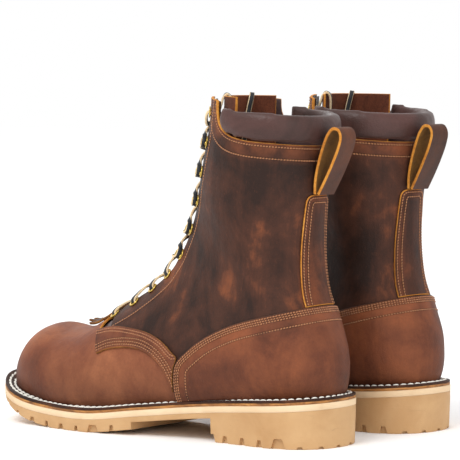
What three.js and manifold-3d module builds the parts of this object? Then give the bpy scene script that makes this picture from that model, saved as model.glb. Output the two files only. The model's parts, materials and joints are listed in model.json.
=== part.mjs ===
// A pair of eight-inch laced leather work boots for wildland fire crews.
// Millimetres, +Z up, toes towards -Y. The wearer's left boot is at +X.
// Every boot is built once in its own frame (x > 0 is the lateral, outer side) and mirrored for the right foot.
import * as THREE from "three";
import { mergeVertices } from "three/addons/utils/BufferGeometryUtils.js";
import Module from "manifold-3d";

const wasm = await Module();
wasm.setup();

// ---- Driving dimensions ------------------------------------------------------------------------
const SOLE_LENGTH = 306; // heel's back to toe's tip
const BALL_WIDTH = 106; // sole, across the ball
const TOP_HEIGHT = 250; // ground to the quarters' front top corner
const LUG_DEPTH = 5.4; // tread lugs under the forefoot
const NOTCH = { pitch: 16.2, narrow: 4.6, wide: 9, depth: 12 }; // between the lugs, round the edge
const WIDE_NOTCH_EVERY = 11;
const OUTSOLE_BASE = 4; // the tread rubber above the lugs
const RUBBER_MIDSOLE = 4.8; // light rubber layer
const LEATHER_MIDSOLE = 2; // leather layer
const WELT = 1.8; // stitched welt, level with the cork filler
const UPPER_LEATHER = 2; // vamp and quarters
const OVERLAY_LEATHER = 1.8; // counter, wings, backstay and kiltie
const FACING_LEATHER = 1.4; // inside the lace rows
const STAY_TAPE = 0.6; // woven tape that the hooks and eyelets are set in
const TONGUE_LEATHER = 2;
const INSOLE = 3.5;
const STIFFENER = 1.5; // toe puff and heel stiffener
const COLLAR_PAD = 12; // padded collar, through its middle
const LOOP_WIDTH = 18.5; // pull loop strap
const LOOP_LEATHER = 2.2;
const LACE = 2; // round diameter that the flat lace takes up
const LACE_STEPS = 90;
const EYELET_RADIUS = 4.2; // flange
const EYELET_HOLE = 2.6;
const EYELET_BARREL = 3;
const HOOK_STEM = 1.7;
const HOOK_HEAD = 4;
const HOOK_RISE = 4.4; // room for the lace under a hook's head
const LACE_ROW_PAIRS = 10;
const LOWER_EYELETS = 4; // pairs under the hooks; one more pair is at the top
const THROAT_GAP = { bottom: 12, top: 16 }; // from the middle to each facing's edge
const FACING_WIDTH = 17; // the lace row's strip of facing
const BACKSTAY_WIDTH = { bottom: 37, top: 25 };
const SHANK = { width: 14, length: 96, thickness: 1 };
const GAP = 0.3; // between touching pieces
const BOOT_SPACING = 124.8; // between the boots' middle lines
const RIGHT_FORWARD = -7.2; // the right boot stands this much further back
const RIGHT_TURN = -6.4; // degrees, the right boot's toe turned out

// ---- The last's shape at its reference size, scaled by the sizes above --------------------------
const REF = { length: 308, ball: 106, top: 252, base: 20 };
const Y = (y) => (y * SOLE_LENGTH) / REF.length;
const X = (x) => (x * BALL_WIDTH) / REF.ball;
const FOREFOOT = WELT + LEATHER_MIDSOLE + RUBBER_MIDSOLE + OUTSOLE_BASE + LUG_DEPTH;
const Z = (z) =>
  FOREFOOT + ((z - REF.base) * (TOP_HEIGHT - FOREFOOT)) / (REF.top - REF.base);

// A curve through [at, value] pairs, smooth at each pair and level past the ends.
function curve(pairs) {
  return (t) => {
    if (t <= pairs[0][0]) return pairs[0][1];
    const last = pairs.length - 1;
    if (t >= pairs[last][0]) return pairs[last][1];
    const i = pairs.findIndex((p) => p[0] > t) - 1;
    const slope = (j) => {
      const a = pairs[Math.max(j - 1, 0)];
      const b = pairs[Math.min(j + 1, last)];
      return (b[1] - a[1]) / (b[0] - a[0]);
    };
    const span = pairs[i + 1][0] - pairs[i][0];
    const s = (t - pairs[i][0]) / span;
    const [p, q] = [pairs[i][1], pairs[i + 1][1]];
    const [m, n] = [slope(i) * span, slope(i + 1) * span];
    const cubic = 2 * (p - q) + m + n;
    return ((cubic * s + 3 * (q - p) - 2 * m - n) * s + m) * s + p;
  };
}

// Top of the welt along the boot: toe spring, ball, arch and heel pitch.
const weltRise = curve([
  [-154, 38.5],
  [-141, 31.5],
  [-120, 25],
  [-95, 21],
  [-45, 20],
  [0, 25],
  [60, 31.5],
  [154, 39],
]);
const weltTop = (y) => Z(weltRise((y * REF.length) / SOLE_LENGTH));

// The last's sections, from the toe's tip to above the shaft's top. Each joins a point on the bottom or
// back line to one on the top or front line: by, bz, fy, fz, lateral and medial half-widths, where along it
// the section is widest, and how square it is at the back and the front.
const SECTIONS = [
  [-142.5, 30, -142.5, 40, 4, 6, 0.5, 2, 2],
  [-140, 23, -140, 49, 17, 20, 0.45, 2.6, 2],
  [-133, 18, -134, 60.5, 27.5, 30, 0.42, 3.2, 2.05],
  [-121, 16, -123, 70, 36, 38, 0.4, 3.6, 2.1],
  [-105, 14, -109, 74.5, 42, 42.5, 0.38, 4, 2.1],
  [-85, 12, -90, 72.5, 46.5, 45.5, 0.37, 4.4, 2.05],
  [-57, 11, -71, 75, 48.5, 46, 0.36, 4.4, 2],
  [-25, 13, -53, 85, 47.5, 43, 0.35, 4.2, 1.85],
  [13, 18, -35, 97, 43.5, 38.5, 0.36, 3.8, 1.75],
  [66, 22, -17, 109, 40, 36.5, 0.37, 3.2, 1.7],
  [118, 25, -3, 121, 38.5, 37, 0.36, 2.8, 1.7],
  [142, 36, 8, 135, 38, 37, 0.34, 2.3, 1.7],
  [147, 60, 17, 151, 37, 36, 0.34, 2, 1.7],
  [140.5, 85, 24, 167, 36, 34.5, 0.38, 1.85, 1.7],
  [131.5, 108, 29, 182, 37, 34, 0.43, 1.75, 1.7],
  [127.5, 135, 33, 197, 39, 37, 0.47, 1.75, 1.7],
  [128, 165, 37.5, 212, 40, 41, 0.49, 1.8, 1.7],
  [131.5, 200, 42, 230, 40, 44.5, 0.5, 1.9, 1.7],
  [132.5, 236, 44.5, 252, 40, 45.5, 0.5, 1.95, 1.7],
  [133, 262, 45, 276, 40, 45.5, 0.5, 1.95, 1.7],
];
const sectionCurves = SECTIONS[0].map((_, field) =>
  curve(SECTIONS.map((row, k) => [k, row[field]])),
);
const LAST_SECTION = SECTIONS.length - 1;

// A point of the last: v runs along the sections and u round one, from -PI (front or top) on the medial
// side through 0 (back or bottom) to PI on the lateral side.
function lastPoint(v, u) {
  const [by, bz, fy, fz, lateral, medial, widest, squareBack, squareFront] =
    sectionCurves.map((c) => c(v));
  const t = Math.abs(u);
  const back = t < Math.PI / 2;
  const along = widest - (back ? widest : 1 - widest) * Math.cos(t);
  const square = back ? squareBack : squareFront;
  const out = Math.max(Math.sin(t), 0) ** (2 / square);
  return new THREE.Vector3(
    X(u > 0 ? lateral : -medial) * out,
    Y(by + (fy - by) * along),
    Z(bz + (fz - bz) * along),
  );
}
function lastNormal(v, u) {
  const e = 0.02;
  const clampU = (a) => THREE.MathUtils.clamp(a, -Math.PI, Math.PI);
  const du = lastPoint(v, clampU(u + e)).sub(lastPoint(v, clampU(u - e)));
  const dv = lastPoint(v + e, u).sub(lastPoint(v - e, u));
  return dv.cross(du).normalize();
}
const offLast = (v, u, d) => lastPoint(v, u).addScaledVector(lastNormal(v, u), d);

// The v and |u| of the last's point seen at (y, z) from the side, in reference sizes.
function locate(y, z) {
  let best = null;
  for (let v = 0; v <= LAST_SECTION; v += 0.02) {
    const [by, bz, fy, fz, , , widest] = sectionCurves.map((c) => c(v));
    const [dy, dz] = [fy - by, fz - bz];
    const along = ((y - by) * dy + (z - bz) * dz) / (dy * dy + dz * dz);
    const miss = Math.hypot(by + dy * along - y, bz + dz * along - z);
    if (along > 0 && along < 1 && (!best || miss < best.miss)) {
      const c = along < widest ? (widest - along) / widest : (widest - along) / (1 - widest);
      best = { miss, v, u: Math.acos(THREE.MathUtils.clamp(c, -1, 1)) };
    }
  }
  return best;
}

// ---- Solids ------------------------------------------------------------------------------------
function toSolid(geometry) {
  const g = geometry.clone();
  g.deleteAttribute("normal");
  g.deleteAttribute("uv");
  const merged = mergeVertices(g, 1e-4);
  const made = new wasm.Manifold(
    new wasm.Mesh({
      numProp: 3,
      vertProperties: merged.attributes.position.array,
      triVerts: new Uint32Array(merged.index.array),
    }),
  );
  if (made.volume() < 0) throw new Error("a geometry is inside out");
  return made;
}
function toGeometry(solid) {
  const mesh = solid.getMesh();
  const stride = mesh.numProp;
  const position = new Float32Array(mesh.numVert * 3);
  for (let i = 0; i < mesh.numVert; i++)
    position.set(mesh.vertProperties.subarray(i * stride, i * stride + 3), i * 3);
  const g = new THREE.BufferGeometry();
  g.setAttribute("position", new THREE.BufferAttribute(position, 3));
  g.setIndex(new THREE.BufferAttribute(mesh.triVerts.slice(), 1));
  const flat = g.toNonIndexed();
  flat.computeVertexNormals();
  return flat;
}

// A closed skin over rings of points; each end ring closes to its middle.
function skin(rings) {
  const n = rings[0].length;
  const points = rings.flat();
  const middle = (ring) =>
    ring.reduce((sum, p) => sum.add(p), new THREE.Vector3()).divideScalar(n);
  points.push(middle(rings[0]), middle(rings[rings.length - 1]));
  const index = [];
  const [first, last] = [rings.length * n, rings.length * n + 1];
  for (let j = 0; j < n; j++) {
    const k = (j + 1) % n;
    index.push(first, k, j);
    const end = (rings.length - 1) * n;
    index.push(last, end + j, end + k);
    for (let i = 0; i + 1 < rings.length; i++) {
      const [a, b] = [i * n, (i + 1) * n];
      index.push(a + j, a + k, b + k, a + j, b + k, b + j);
    }
  }
  const g = new THREE.BufferGeometry().setFromPoints(points);
  g.setIndex(index);
  let volume = 0;
  for (let i = 0; i < index.length; i += 3) {
    const [a, b, c] = [points[index[i]], points[index[i + 1]], points[index[i + 2]]];
    volume += a.dot(b.clone().cross(c));
  }
  if (volume < 0) {
    for (let i = 0; i < index.length; i += 3)
      [index[i + 1], index[i + 2]] = [index[i + 2], index[i + 1]];
    g.setIndex(index);
  }
  return toSolid(g);
}

// The last grown by d, as a solid. Hidden inner layers take the coarser rings: their facets lie a little
// deeper, so they stay clear of the layer over them.
const FINE = {
  around: 12,
  along: [0, 0.8, 2, 3.6, 5.6, 8, 10.2, 11.6, 13, 14.8, 17, 19],
};
const COARSE = { around: FINE.around / 2, along: FINE.along };
const grownCache = new Map();
function grown(d, detail = FINE) {
  const key = `${d} ${detail.around}`;
  if (!grownCache.has(key)) {
    const rings = detail.along.map((v) =>
      Array.from({ length: detail.around }, (_, j) =>
        offLast(v, -Math.PI + (2 * Math.PI * j) / detail.around, d),
      ),
    );
    grownCache.set(key, skin(rings));
  }
  return grownCache.get(key);
}
const layer = (low, high, detail = FINE) => grown(high, detail).subtract(grown(low, detail));

// A prism across the boot, from an outline seen from the side in reference sizes.
const SIDE = new THREE.Matrix4().makeBasis(
  new THREE.Vector3(0, 1, 0),
  new THREE.Vector3(0, 0, 1),
  new THREE.Vector3(1, 0, 0),
);
function sidePrism(outline, fromX = -200, toX = 200, grow = [0, 0]) {
  const shape = new THREE.Shape(
    outline.map(([y, z]) => new THREE.Vector2(Y(y) + grow[0], Z(z) + grow[1])),
  );
  const g = new THREE.ExtrudeGeometry(shape, { depth: toX - fromX, bevelEnabled: false });
  g.translate(0, 0, fromX);
  return toSolid(g.applyMatrix4(SIDE));
}
function box(low, high) {
  const size = high.map((h, i) => h - low[i]);
  const g = new THREE.BoxGeometry(...size);
  g.translate(...high.map((h, i) => (h + low[i]) / 2));
  return toSolid(g);
}
// Points of a smooth line through the given ones.
function smooth(points, steps) {
  const line = new THREE.CatmullRomCurve3(
    points.map(([y, z]) => new THREE.Vector3(y, z, 0)),
    false,
    "centripetal",
  );
  return line.getPoints(steps).map((p) => [p.x, p.y]);
}

// ---- Sole ---------------------------------------------------------------------------------------
const TOE_ROUND = 52;
const HEEL_ROUND = 43;
const soleLateral = curve([[-102, 48], [-42, 54], [0, 46.5], [35, 40], [70, 39], [112, 41.5]]);
const soleMedial = curve([[-102, 48.5], [-62, 52], [-15, 43.5], [25, 36.5], [65, 37], [112, 40.5]]);
// How far the sole's edge is from the middle line at y, less an inset all round.
function soleEdge(y, side, inset = 0) {
  const half = SOLE_LENGTH / 2;
  const ref = (y * REF.length) / SOLE_LENGTH;
  const width = X(side > 0 ? soleLateral(ref) : soleMedial(ref)) - inset;
  const [toe, heel] = [Y(TOE_ROUND) - inset, Y(HEEL_ROUND) - inset];
  const toeEnd = -half + inset;
  const heelEnd = half - inset;
  let share = 1;
  if (y < toeEnd + toe) share = (toeEnd + toe - y) / toe;
  else if (y > heelEnd - heel) share = (y - heelEnd + heel) / heel;
  else return width;
  return width * Math.max(1 - Math.min(share, 1) ** 2.25, 0) ** (1 / 2.25);
}
// Places along the sole between two ys, closer together at a round end.
function soleStations(from, to, steps, roundEnds) {
  return Array.from({ length: steps + 1 }, (_, i) => {
    const share = THREE.MathUtils.lerp(i / steps, (1 - Math.cos((Math.PI * i) / steps)) / 2, roundEnds);
    return from + (to - from) * share;
  });
}
const END = 0.4; // a round end stops this short of its tip
const SOLE_STEPS = 16;
const SOLE_PLACES = soleStations(-SOLE_LENGTH / 2 + END, SOLE_LENGTH / 2 - END, SOLE_STEPS, 1);
// A layer of the sole between two heights that vary along it.
function soleSlab(bottom, top, options = {}) {
  const { inset = 0, from = -SOLE_LENGTH / 2, to = SOLE_LENGTH / 2, places } = options;
  const low = Math.max(from, -SOLE_LENGTH / 2 + inset + END);
  const high = Math.min(to, SOLE_LENGTH / 2 - inset - END);
  const whole = low > from && high < to;
  const cut = soleStations(low, high, 9, 0.6);
  const rings = (places ?? (whole && !inset ? SOLE_PLACES : cut)).map((y) => {
    const [a, b] = [-soleEdge(y, -1, inset), soleEdge(y, 1, inset)];
    return [
      new THREE.Vector3(a, y, bottom(y)),
      new THREE.Vector3(b, y, bottom(y)),
      new THREE.Vector3(b, y, top(y)),
      new THREE.Vector3(a, y, top(y)),
    ];
  });
  return skin(rings);
}
// Everything between two heights over the welt's top, wider than the sole.
function overWelt(low, high) {
  const reach = SOLE_LENGTH / 2 + 30;
  const half = BALL_WIDTH * 1.5;
  const rings = [-reach, ...SOLE_PLACES, reach].map((y) => {
    const top = weltTop(y);
    return [
      new THREE.Vector3(-half, y, top + low),
      new THREE.Vector3(half, y, top + low),
      new THREE.Vector3(half, y, top + high),
      new THREE.Vector3(-half, y, top + high),
    ];
  });
  return skin(rings);
}
const below = (depth) => (y) => weltTop(y) - depth;
const weltBottom = below(WELT);
const leatherBottom = below(WELT + LEATHER_MIDSOLE);
const rubberBottom = below(WELT + LEATHER_MIDSOLE + RUBBER_MIDSOLE);
const toeLift = curve([[-154, 8], [-132, 5], [-105, 1.2], [-85, 0]]);
const lifted = (f, share) => (y) => f(y) + share * toeLift((y * REF.length) / SOLE_LENGTH);
const baseBottom = lifted(below(FOREFOOT - LUG_DEPTH), 0.35);
// The tread lies flat on the ground under the ball.
const lugBottom = (y) => Math.max(lifted(below(FOREFOOT), 1)(y), 0);

const TREAD_END = Y(-5); // the forefoot lugs stop here
const HEEL_BREAST = Y(63); // the heel starts here
const WELT_SHELF = 13; // width of the welt's ring
const under = (f, drop = GAP) => (y) => f(y) - drop;

// The sole's edge as a walk: the place and the outward direction, at distances round one end.
function edgeWalk(fromY, end, spacing, first) {
  const tip = (end * SOLE_LENGTH) / 2;
  const trace = [];
  for (const side of [1, -1])
    for (let i = 0; i <= 160; i++) {
      const s = side > 0 ? i / 160 : 1 - i / 160;
      const y = fromY + (tip - fromY) * Math.sin((s * Math.PI) / 2);
      trace.push(new THREE.Vector2(side * soleEdge(y, side), y));
    }
  const marks = [];
  let gone = 0;
  let next = first;
  for (let i = 1; i < trace.length; i++) {
    const step = trace[i].clone().sub(trace[i - 1]);
    gone += step.length();
    if (gone >= next && step.length() > 1e-6) {
      const out = new THREE.Vector2(step.y, -step.x).normalize().multiplyScalar(-end);
      marks.push({ at: trace[i].clone(), out });
      next += spacing;
    }
  }
  return marks;
}
// A tapered notch in the tread's edge, wider at the ground.
function notch(mark, width, depth, floor, roof) {
  const shape = new THREE.Shape([
    new THREE.Vector2(-width * 0.68, floor),
    new THREE.Vector2(width * 0.68, floor),
    new THREE.Vector2(width * 0.36, roof),
    new THREE.Vector2(-width * 0.36, roof),
  ]);
  const g = new THREE.ExtrudeGeometry(shape, { depth: depth + 3, bevelEnabled: false });
  g.translate(0, 0, -depth);
  const out = new THREE.Vector3(mark.out.x, mark.out.y, 0);
  const up = new THREE.Vector3(0, 0, 1);
  const basis = new THREE.Matrix4().makeBasis(up.clone().cross(out), up, out);
  basis.setPosition(mark.at.x, mark.at.y, 0);
  return toSolid(g.applyMatrix4(basis));
}
function outsole() {
  const ground = () => 0;
  const sole = soleSlab(baseBottom, under(rubberBottom));
  let tread = soleSlab(lugBottom, under(baseBottom, -1), { to: TREAD_END });
  let heel = soleSlab(ground, under(baseBottom, -1), { from: HEEL_BREAST });
  edgeWalk(TREAD_END, -1, NOTCH.pitch, NOTCH.pitch).forEach((mark, i) => {
    const wide = i % WIDE_NOTCH_EVERY === 1;
    const floor = lugBottom(mark.at.y) - 2;
    const roof = baseBottom(mark.at.y) - (wide ? -0.5 : 0.8);
    tread = tread.subtract(notch(mark, wide ? NOTCH.wide : NOTCH.narrow, NOTCH.depth, floor, roof));
  });
  edgeWalk(HEEL_BREAST, 1, NOTCH.pitch, NOTCH.pitch * 0.8).forEach((mark, i) => {
    const wide = i % WIDE_NOTCH_EVERY === 3;
    const roof = LUG_DEPTH + (wide ? 2 : 0);
    heel = heel.subtract(notch(mark, wide ? NOTCH.wide : NOTCH.narrow, NOTCH.depth, -1, roof));
  });
  return sole.add(tread).add(heel);
}
const weltCore = (inset) => soleSlab(under(weltBottom, 5), under(weltTop, -5), { inset });
const weltLayer = () => soleSlab(weltBottom, weltTop);
const weltRing = () => weltLayer().subtract(weltCore(WELT_SHELF));
function shankBox(grow) {
  const [half, middle] = [SHANK.length / 2 + grow, Y(28)];
  const rings = [-1, -0.5, 0, 0.5, 1].map((s) => {
    const y = middle + s * half;
    const low = weltBottom(y) + 0.3 - grow;
    const high = weltBottom(y) + 0.3 + SHANK.thickness + grow;
    const w = SHANK.width / 2 + grow;
    return [
      new THREE.Vector3(-w, y, low),
      new THREE.Vector3(w, y, low),
      new THREE.Vector3(w, y, high),
      new THREE.Vector3(-w, y, high),
    ];
  });
  return skin(rings);
}
function corkFiller() {
  const filler = weltLayer().intersect(weltCore(WELT_SHELF + GAP));
  // The shank lies in a groove that is open to the cork's underside.
  return filler.subtract(shankBox(0.25).add(shankBox(0.25).translate([0, 0, -0.6])));
}

// ---- Upper --------------------------------------------------------------------------------------
const floorCut = overWelt(-80, GAP);

// Lines seen from the side, in reference sizes.
const WING_LOWER = smooth(
  [[-40, 60.5], [-30, 64.5], [-13, 66.6], [1, 65.5], [14, 60], [23, 52], [28.5, 42], [30, 30]], 10);
const WING_UPPER = smooth([[-50, 77], [-33, 80.5], [-10, 80], [6, 77.5], [19, 72.5], [31, 64]], 8);
const VAMP_SEAM = smooth([[-42, 66.4], [-27, 73], [-12, 73.5], [5, 70.5], [20, 63.5], [29, 53], [33, 40]], 8);
const COUNTER_TOP = smooth([[31, 26], [31.5, 44], [33.5, 57], [42.5, 66.5], [58, 77.5], [77, 86], [91, 90.5],
  [116, 97], [160, 109]], 14);
const TOP_FRONT = [[20, 252], [38, 252], [67, 248.5]];
const COLLAR_LINE = smooth([[67, 248.5], [67.5, 239], [71, 231], [79, 224.8], [93, 220.8], [116, 218.3],
  [150, 215]], 12);
const THROAT_FRONT = [[-62, 200], [-61, 96], [-56, 84], [-47, 72], [-42, 66.5]];

const vampRegion = [[-200, -50], [-200, 200], ...THROAT_FRONT, ...VAMP_SEAM, [33, -50]];
const upperTop = [...TOP_FRONT, ...COLLAR_LINE, [200, 211], [200, 400], [-100, 400], [-100, 252]];
// A wedge across the boot's front between two distances from the middle, each given at the throat's
// bottom and at the top.
function frontWedge(inner, outer, toY) {
  const [low, high] = [Z(75), Z(TOP_HEIGHT)];
  const at = ({ bottom, top }, z) => bottom + ((top - bottom) * (z - low)) / (high - low);
  const [floor, roof] = [Z(20), Z(300)];
  const shape = new THREE.Shape([
    new THREE.Vector2(at(inner, floor), floor),
    new THREE.Vector2(at(outer, floor), floor),
    new THREE.Vector2(at(outer, roof), roof),
    new THREE.Vector2(at(inner, roof), roof),
  ]);
  const g = new THREE.ExtrudeGeometry(shape, { depth: 400, bevelEnabled: false });
  const upright = new THREE.Matrix4().makeBasis(
    new THREE.Vector3(1, 0, 0),
    new THREE.Vector3(0, 0, 1),
    new THREE.Vector3(0, -1, 0),
  );
  return toSolid(g.applyMatrix4(upright).translate(0, Y(toY), 0));
}
const wider = ({ bottom, top }, by) => ({ bottom: bottom + by, top: top + by });
const flipped = ({ bottom, top }) => ({ bottom: -bottom, top: -top });
// The gap between the facings, from the throat up.
const throatSlab = () => frontWedge(flipped(THROAT_GAP), THROAT_GAP, 86);
const sideHalf = (side) => (side > 0 ? box([0.15, -300, -50], [200, 300, 400]) : box([-200, -300, -50], [-0.15, 300, 400]));

const upperShell = () => layer(0, UPPER_LEATHER).subtract(floorCut);
const overlayLow = UPPER_LEATHER + GAP;
const overlayHigh = overlayLow + OVERLAY_LEATHER;
const overlayShell = () => layer(overlayLow, overlayHigh).subtract(floorCut);

// Depths in the last: the stay tape and the facing, and the height of the hardware's flanges.
const TAPE = { low: -GAP - STAY_TAPE, high: -GAP };
const FACING = { low: TAPE.low - GAP - FACING_LEATHER, high: TAPE.low - GAP };
const FLANGE = UPPER_LEATHER + GAP + 0.4;

// Lace row: places seen from the side, in reference sizes, from the lowest pair to the highest.
const LACE_ROW = [
  [-43.5, 85.5],
  [-25.5, 95.5],
  [-10.5, 106.5],
  [3.5, 118],
  [15.5, 134],
  [25, 153],
  [34, 174.5],
  [42, 196],
  [48.5, 217.5],
  [53, 239.5],
];
const isHook = (i) => i >= LOWER_EYELETS && i < LACE_ROW_PAIRS - 1;
const laceRow = LACE_ROW.map(([y, z]) => locate(y, z));
// A frame on the last at a lace hole: its origin on the surface, x away from the middle, z outwards.
function holeFrame(i, side) {
  const { v, u } = laceRow[i];
  const at = lastPoint(v, side * u);
  const out = lastNormal(v, side * u);
  const step = lastPoint(v, side * (u - 0.05)).sub(at);
  const away = step.addScaledVector(out, -step.dot(out)).normalize();
  const basis = new THREE.Matrix4().makeBasis(away, out.clone().cross(away), out);
  return basis.setPosition(at);
}
// A round turning set at a lace hole: the profile holds radius and height over the last.
function turned(profile, i, side, segments) {
  const g = new THREE.LatheGeometry(
    profile.map(([r, h]) => new THREE.Vector2(r, h)),
    segments,
  );
  g.rotateX(Math.PI / 2);
  return toSolid(g.applyMatrix4(holeFrame(i, side)));
}
const rod = (radius, low, high, i, side, segments = 6) =>
  turned([[0, low], [radius, low], [radius, high], [0, high]], i, side, segments);

// Cuts a leather layer free of the hardware's barrels and flanges and of the lace.
function clearOfLacing(made, side, { hooks = true } = {}) {
  let cut = made;
  laceRow.forEach((_, i) => {
    if (isHook(i) && !hooks) return;
    const barrel = (isHook(i) ? HOOK_STEM : EYELET_BARREL) + GAP;
    cut = cut
      .subtract(rod(barrel, FACING.low - 2, 4, i, side))
      .subtract(rod(EYELET_RADIUS + GAP, FLANGE - GAP, FLANGE + 3, i, side));
  });
  return biggest(cut.subtract(laceTube(LACE / 2 + GAP)));
}
function quarter(side) {
  const made = upperShell()
    .intersect(sideHalf(side))
    .subtract(sidePrism(vampRegion, -200, 200, [GAP, GAP]))
    .subtract(sidePrism(upperTop))
    .subtract(throatSlab());
  return clearOfLacing(biggest(made), side);
}
function biggest(solid) {
  return solid.decompose().sort((a, b) => b.volume() - a.volume())[0];
}
function vamp() {
  return biggest(upperShell().intersect(sidePrism(vampRegion)));
}
function wing(side) {
  const outline = [...WING_UPPER, [34, 62], [31, 26], ...WING_LOWER.slice().reverse()];
  return biggest(
    overlayShell()
      .intersect(sideHalf(side))
      .intersect(sidePrism(outline))
      .subtract(sidePrism([...COUNTER_TOP, [400, 109], [400, -50], [31, -50]], -200, 200, [-GAP, GAP]))
      .subtract(throatSlab()),
  );
}
function counter() {
  return biggest(overlayShell().intersect(sidePrism([...COUNTER_TOP, [400, 109], [400, -50], [31, -50]])));
}
const STAY_TOP = 181;
function backstay() {
  const [low, high] = [Z(90), Z(STAY_TOP)];
  const shape = new THREE.Shape([
    new THREE.Vector2(-BACKSTAY_WIDTH.bottom / 2, low),
    new THREE.Vector2(BACKSTAY_WIDTH.bottom / 2, low),
    new THREE.Vector2(BACKSTAY_WIDTH.top / 2, high - 4),
    new THREE.Vector2(BACKSTAY_WIDTH.top / 2 - 4, high),
    new THREE.Vector2(4 - BACKSTAY_WIDTH.top / 2, high),
    new THREE.Vector2(-BACKSTAY_WIDTH.top / 2, high - 4),
  ]);
  const g = new THREE.ExtrudeGeometry(shape, { depth: Y(110), bevelEnabled: false });
  const upright = new THREE.Matrix4().makeBasis(
    new THREE.Vector3(1, 0, 0),
    new THREE.Vector3(0, 0, 1),
    new THREE.Vector3(0, -1, 0),
  );
  const strip = toSolid(g.applyMatrix4(upright).translate(0, Y(200), 0));
  return biggest(
    overlayShell()
      .intersect(strip)
      .subtract(sidePrism([...COUNTER_TOP, [400, 109], [400, -50], [31, -50]], -200, 200, [-GAP, GAP])),
  );
}
// A strip along one lace row, between two depths in the last.
function laceStrip(side, { low, high }, inner, outer) {
  const near = wider(THROAT_GAP, inner);
  const far = wider(THROAT_GAP, outer);
  const strip = side > 0 ? frontWedge(near, far, 90) : frontWedge(flipped(far), flipped(near), 90);
  const behind = [[-200, -50], [-200, 200], [-53, 200], [-53, 74], [-10, 80],
    [60, 140], [120, 140], [120, -50]];
  return layer(low, high)
    .intersect(strip)
    .subtract(sidePrism(behind))
    .subtract(sidePrism(upperTop, -200, 200, [0, -1]));
}
function facing(side) {
  return clearOfLacing(biggest(laceStrip(side, FACING, 0, FACING_WIDTH)), side, { hooks: false });
}
// The hooks and eyelets of one row, set in the stay tape between quarter and facing.
function laceHardware(side) {
  let row = biggest(laceStrip(side, TAPE, 2.5, FACING_WIDTH - 2.5));
  const flange = FLANGE;
  const root = TAPE.low;
  const rim = [[EYELET_BARREL, flange], [EYELET_RADIUS, flange], [EYELET_RADIUS, flange + 0.5]];
  laceRow.forEach((_, i) => {
    if (isHook(i)) {
      const head = flange + HOOK_RISE;
      const profile = [[0, root], [HOOK_STEM, root], [HOOK_STEM, head], [HOOK_HEAD, head],
        [HOOK_HEAD, head + 0.6], [0, head + 1.2]];
      row = row.add(turned(profile, i, side, 6));
    } else {
      const end = FACING.low - 0.5;
      const profile = [[EYELET_HOLE, end], [EYELET_BARREL, end], ...rim, [EYELET_HOLE, flange + 1],
        [EYELET_HOLE, end]];
      row = row.add(turned(profile, i, side, 6)).subtract(rod(EYELET_HOLE, -2, 0.5, i, side, 6));
    }
  });
  return biggest(row.subtract(laceTube(LACE / 2 + GAP)));
}
const LACE_ROOM = LACE + 2.6; // between facing and tongue, for the lace's inner runs
const TONGUE = { high: FACING.low - LACE_ROOM };
TONGUE.low = TONGUE.high - TONGUE_LEATHER;
const TONGUE_HALF = 30;
function tongue() {
  const sides = box([-TONGUE_HALF, -400, 0], [TONGUE_HALF, Y(86), 400]);
  const behind = [[-200, -50], [-200, 200], [-50, 200], [-50, 76], [-14, 84], [8, 100], [60, 150],
    [120, 150], [120, -50]];
  const above = [[-100, 252], [200, 248], [200, 500], [-100, 500]];
  return biggest(
    layer(TONGUE.low, TONGUE.high)
      .intersect(sides)
      .subtract(sidePrism(behind))
      .subtract(sidePrism(above))
      .subtract(laceTube(LACE / 2 + GAP)),
  );
}
// The fringed false tongue that lies on the vamp in front of the throat.
function kiltie() {
  const teeth = 5;
  const half = 18;
  const neck = THROAT_GAP.bottom - 1.5;
  const tip = (x) => -82 + 12 * (x / half) ** 2;
  const points = [[-neck, -46], [-neck, -60], [-half, -60]];
  for (let i = 0; i < teeth; i++) {
    const left = -half + (2 * half * i) / teeth;
    const [middle, right] = [left + half / teeth, left + (2 * half) / teeth];
    points.push([middle, tip(middle)]);
    if (i < teeth - 1) points.push([right, tip(right) + 8]);
  }
  points.push([half, -60], [neck, -60], [neck, -46]);
  const shape = new THREE.Shape(points.reverse().map(([x, y]) => new THREE.Vector2(x, Y(y))));
  const g = new THREE.ExtrudeGeometry(shape, { depth: 200, bevelEnabled: false });
  g.translate(0, 0, Z(60));
  return biggest(overlayShell().intersect(toSolid(g)));
}
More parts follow.
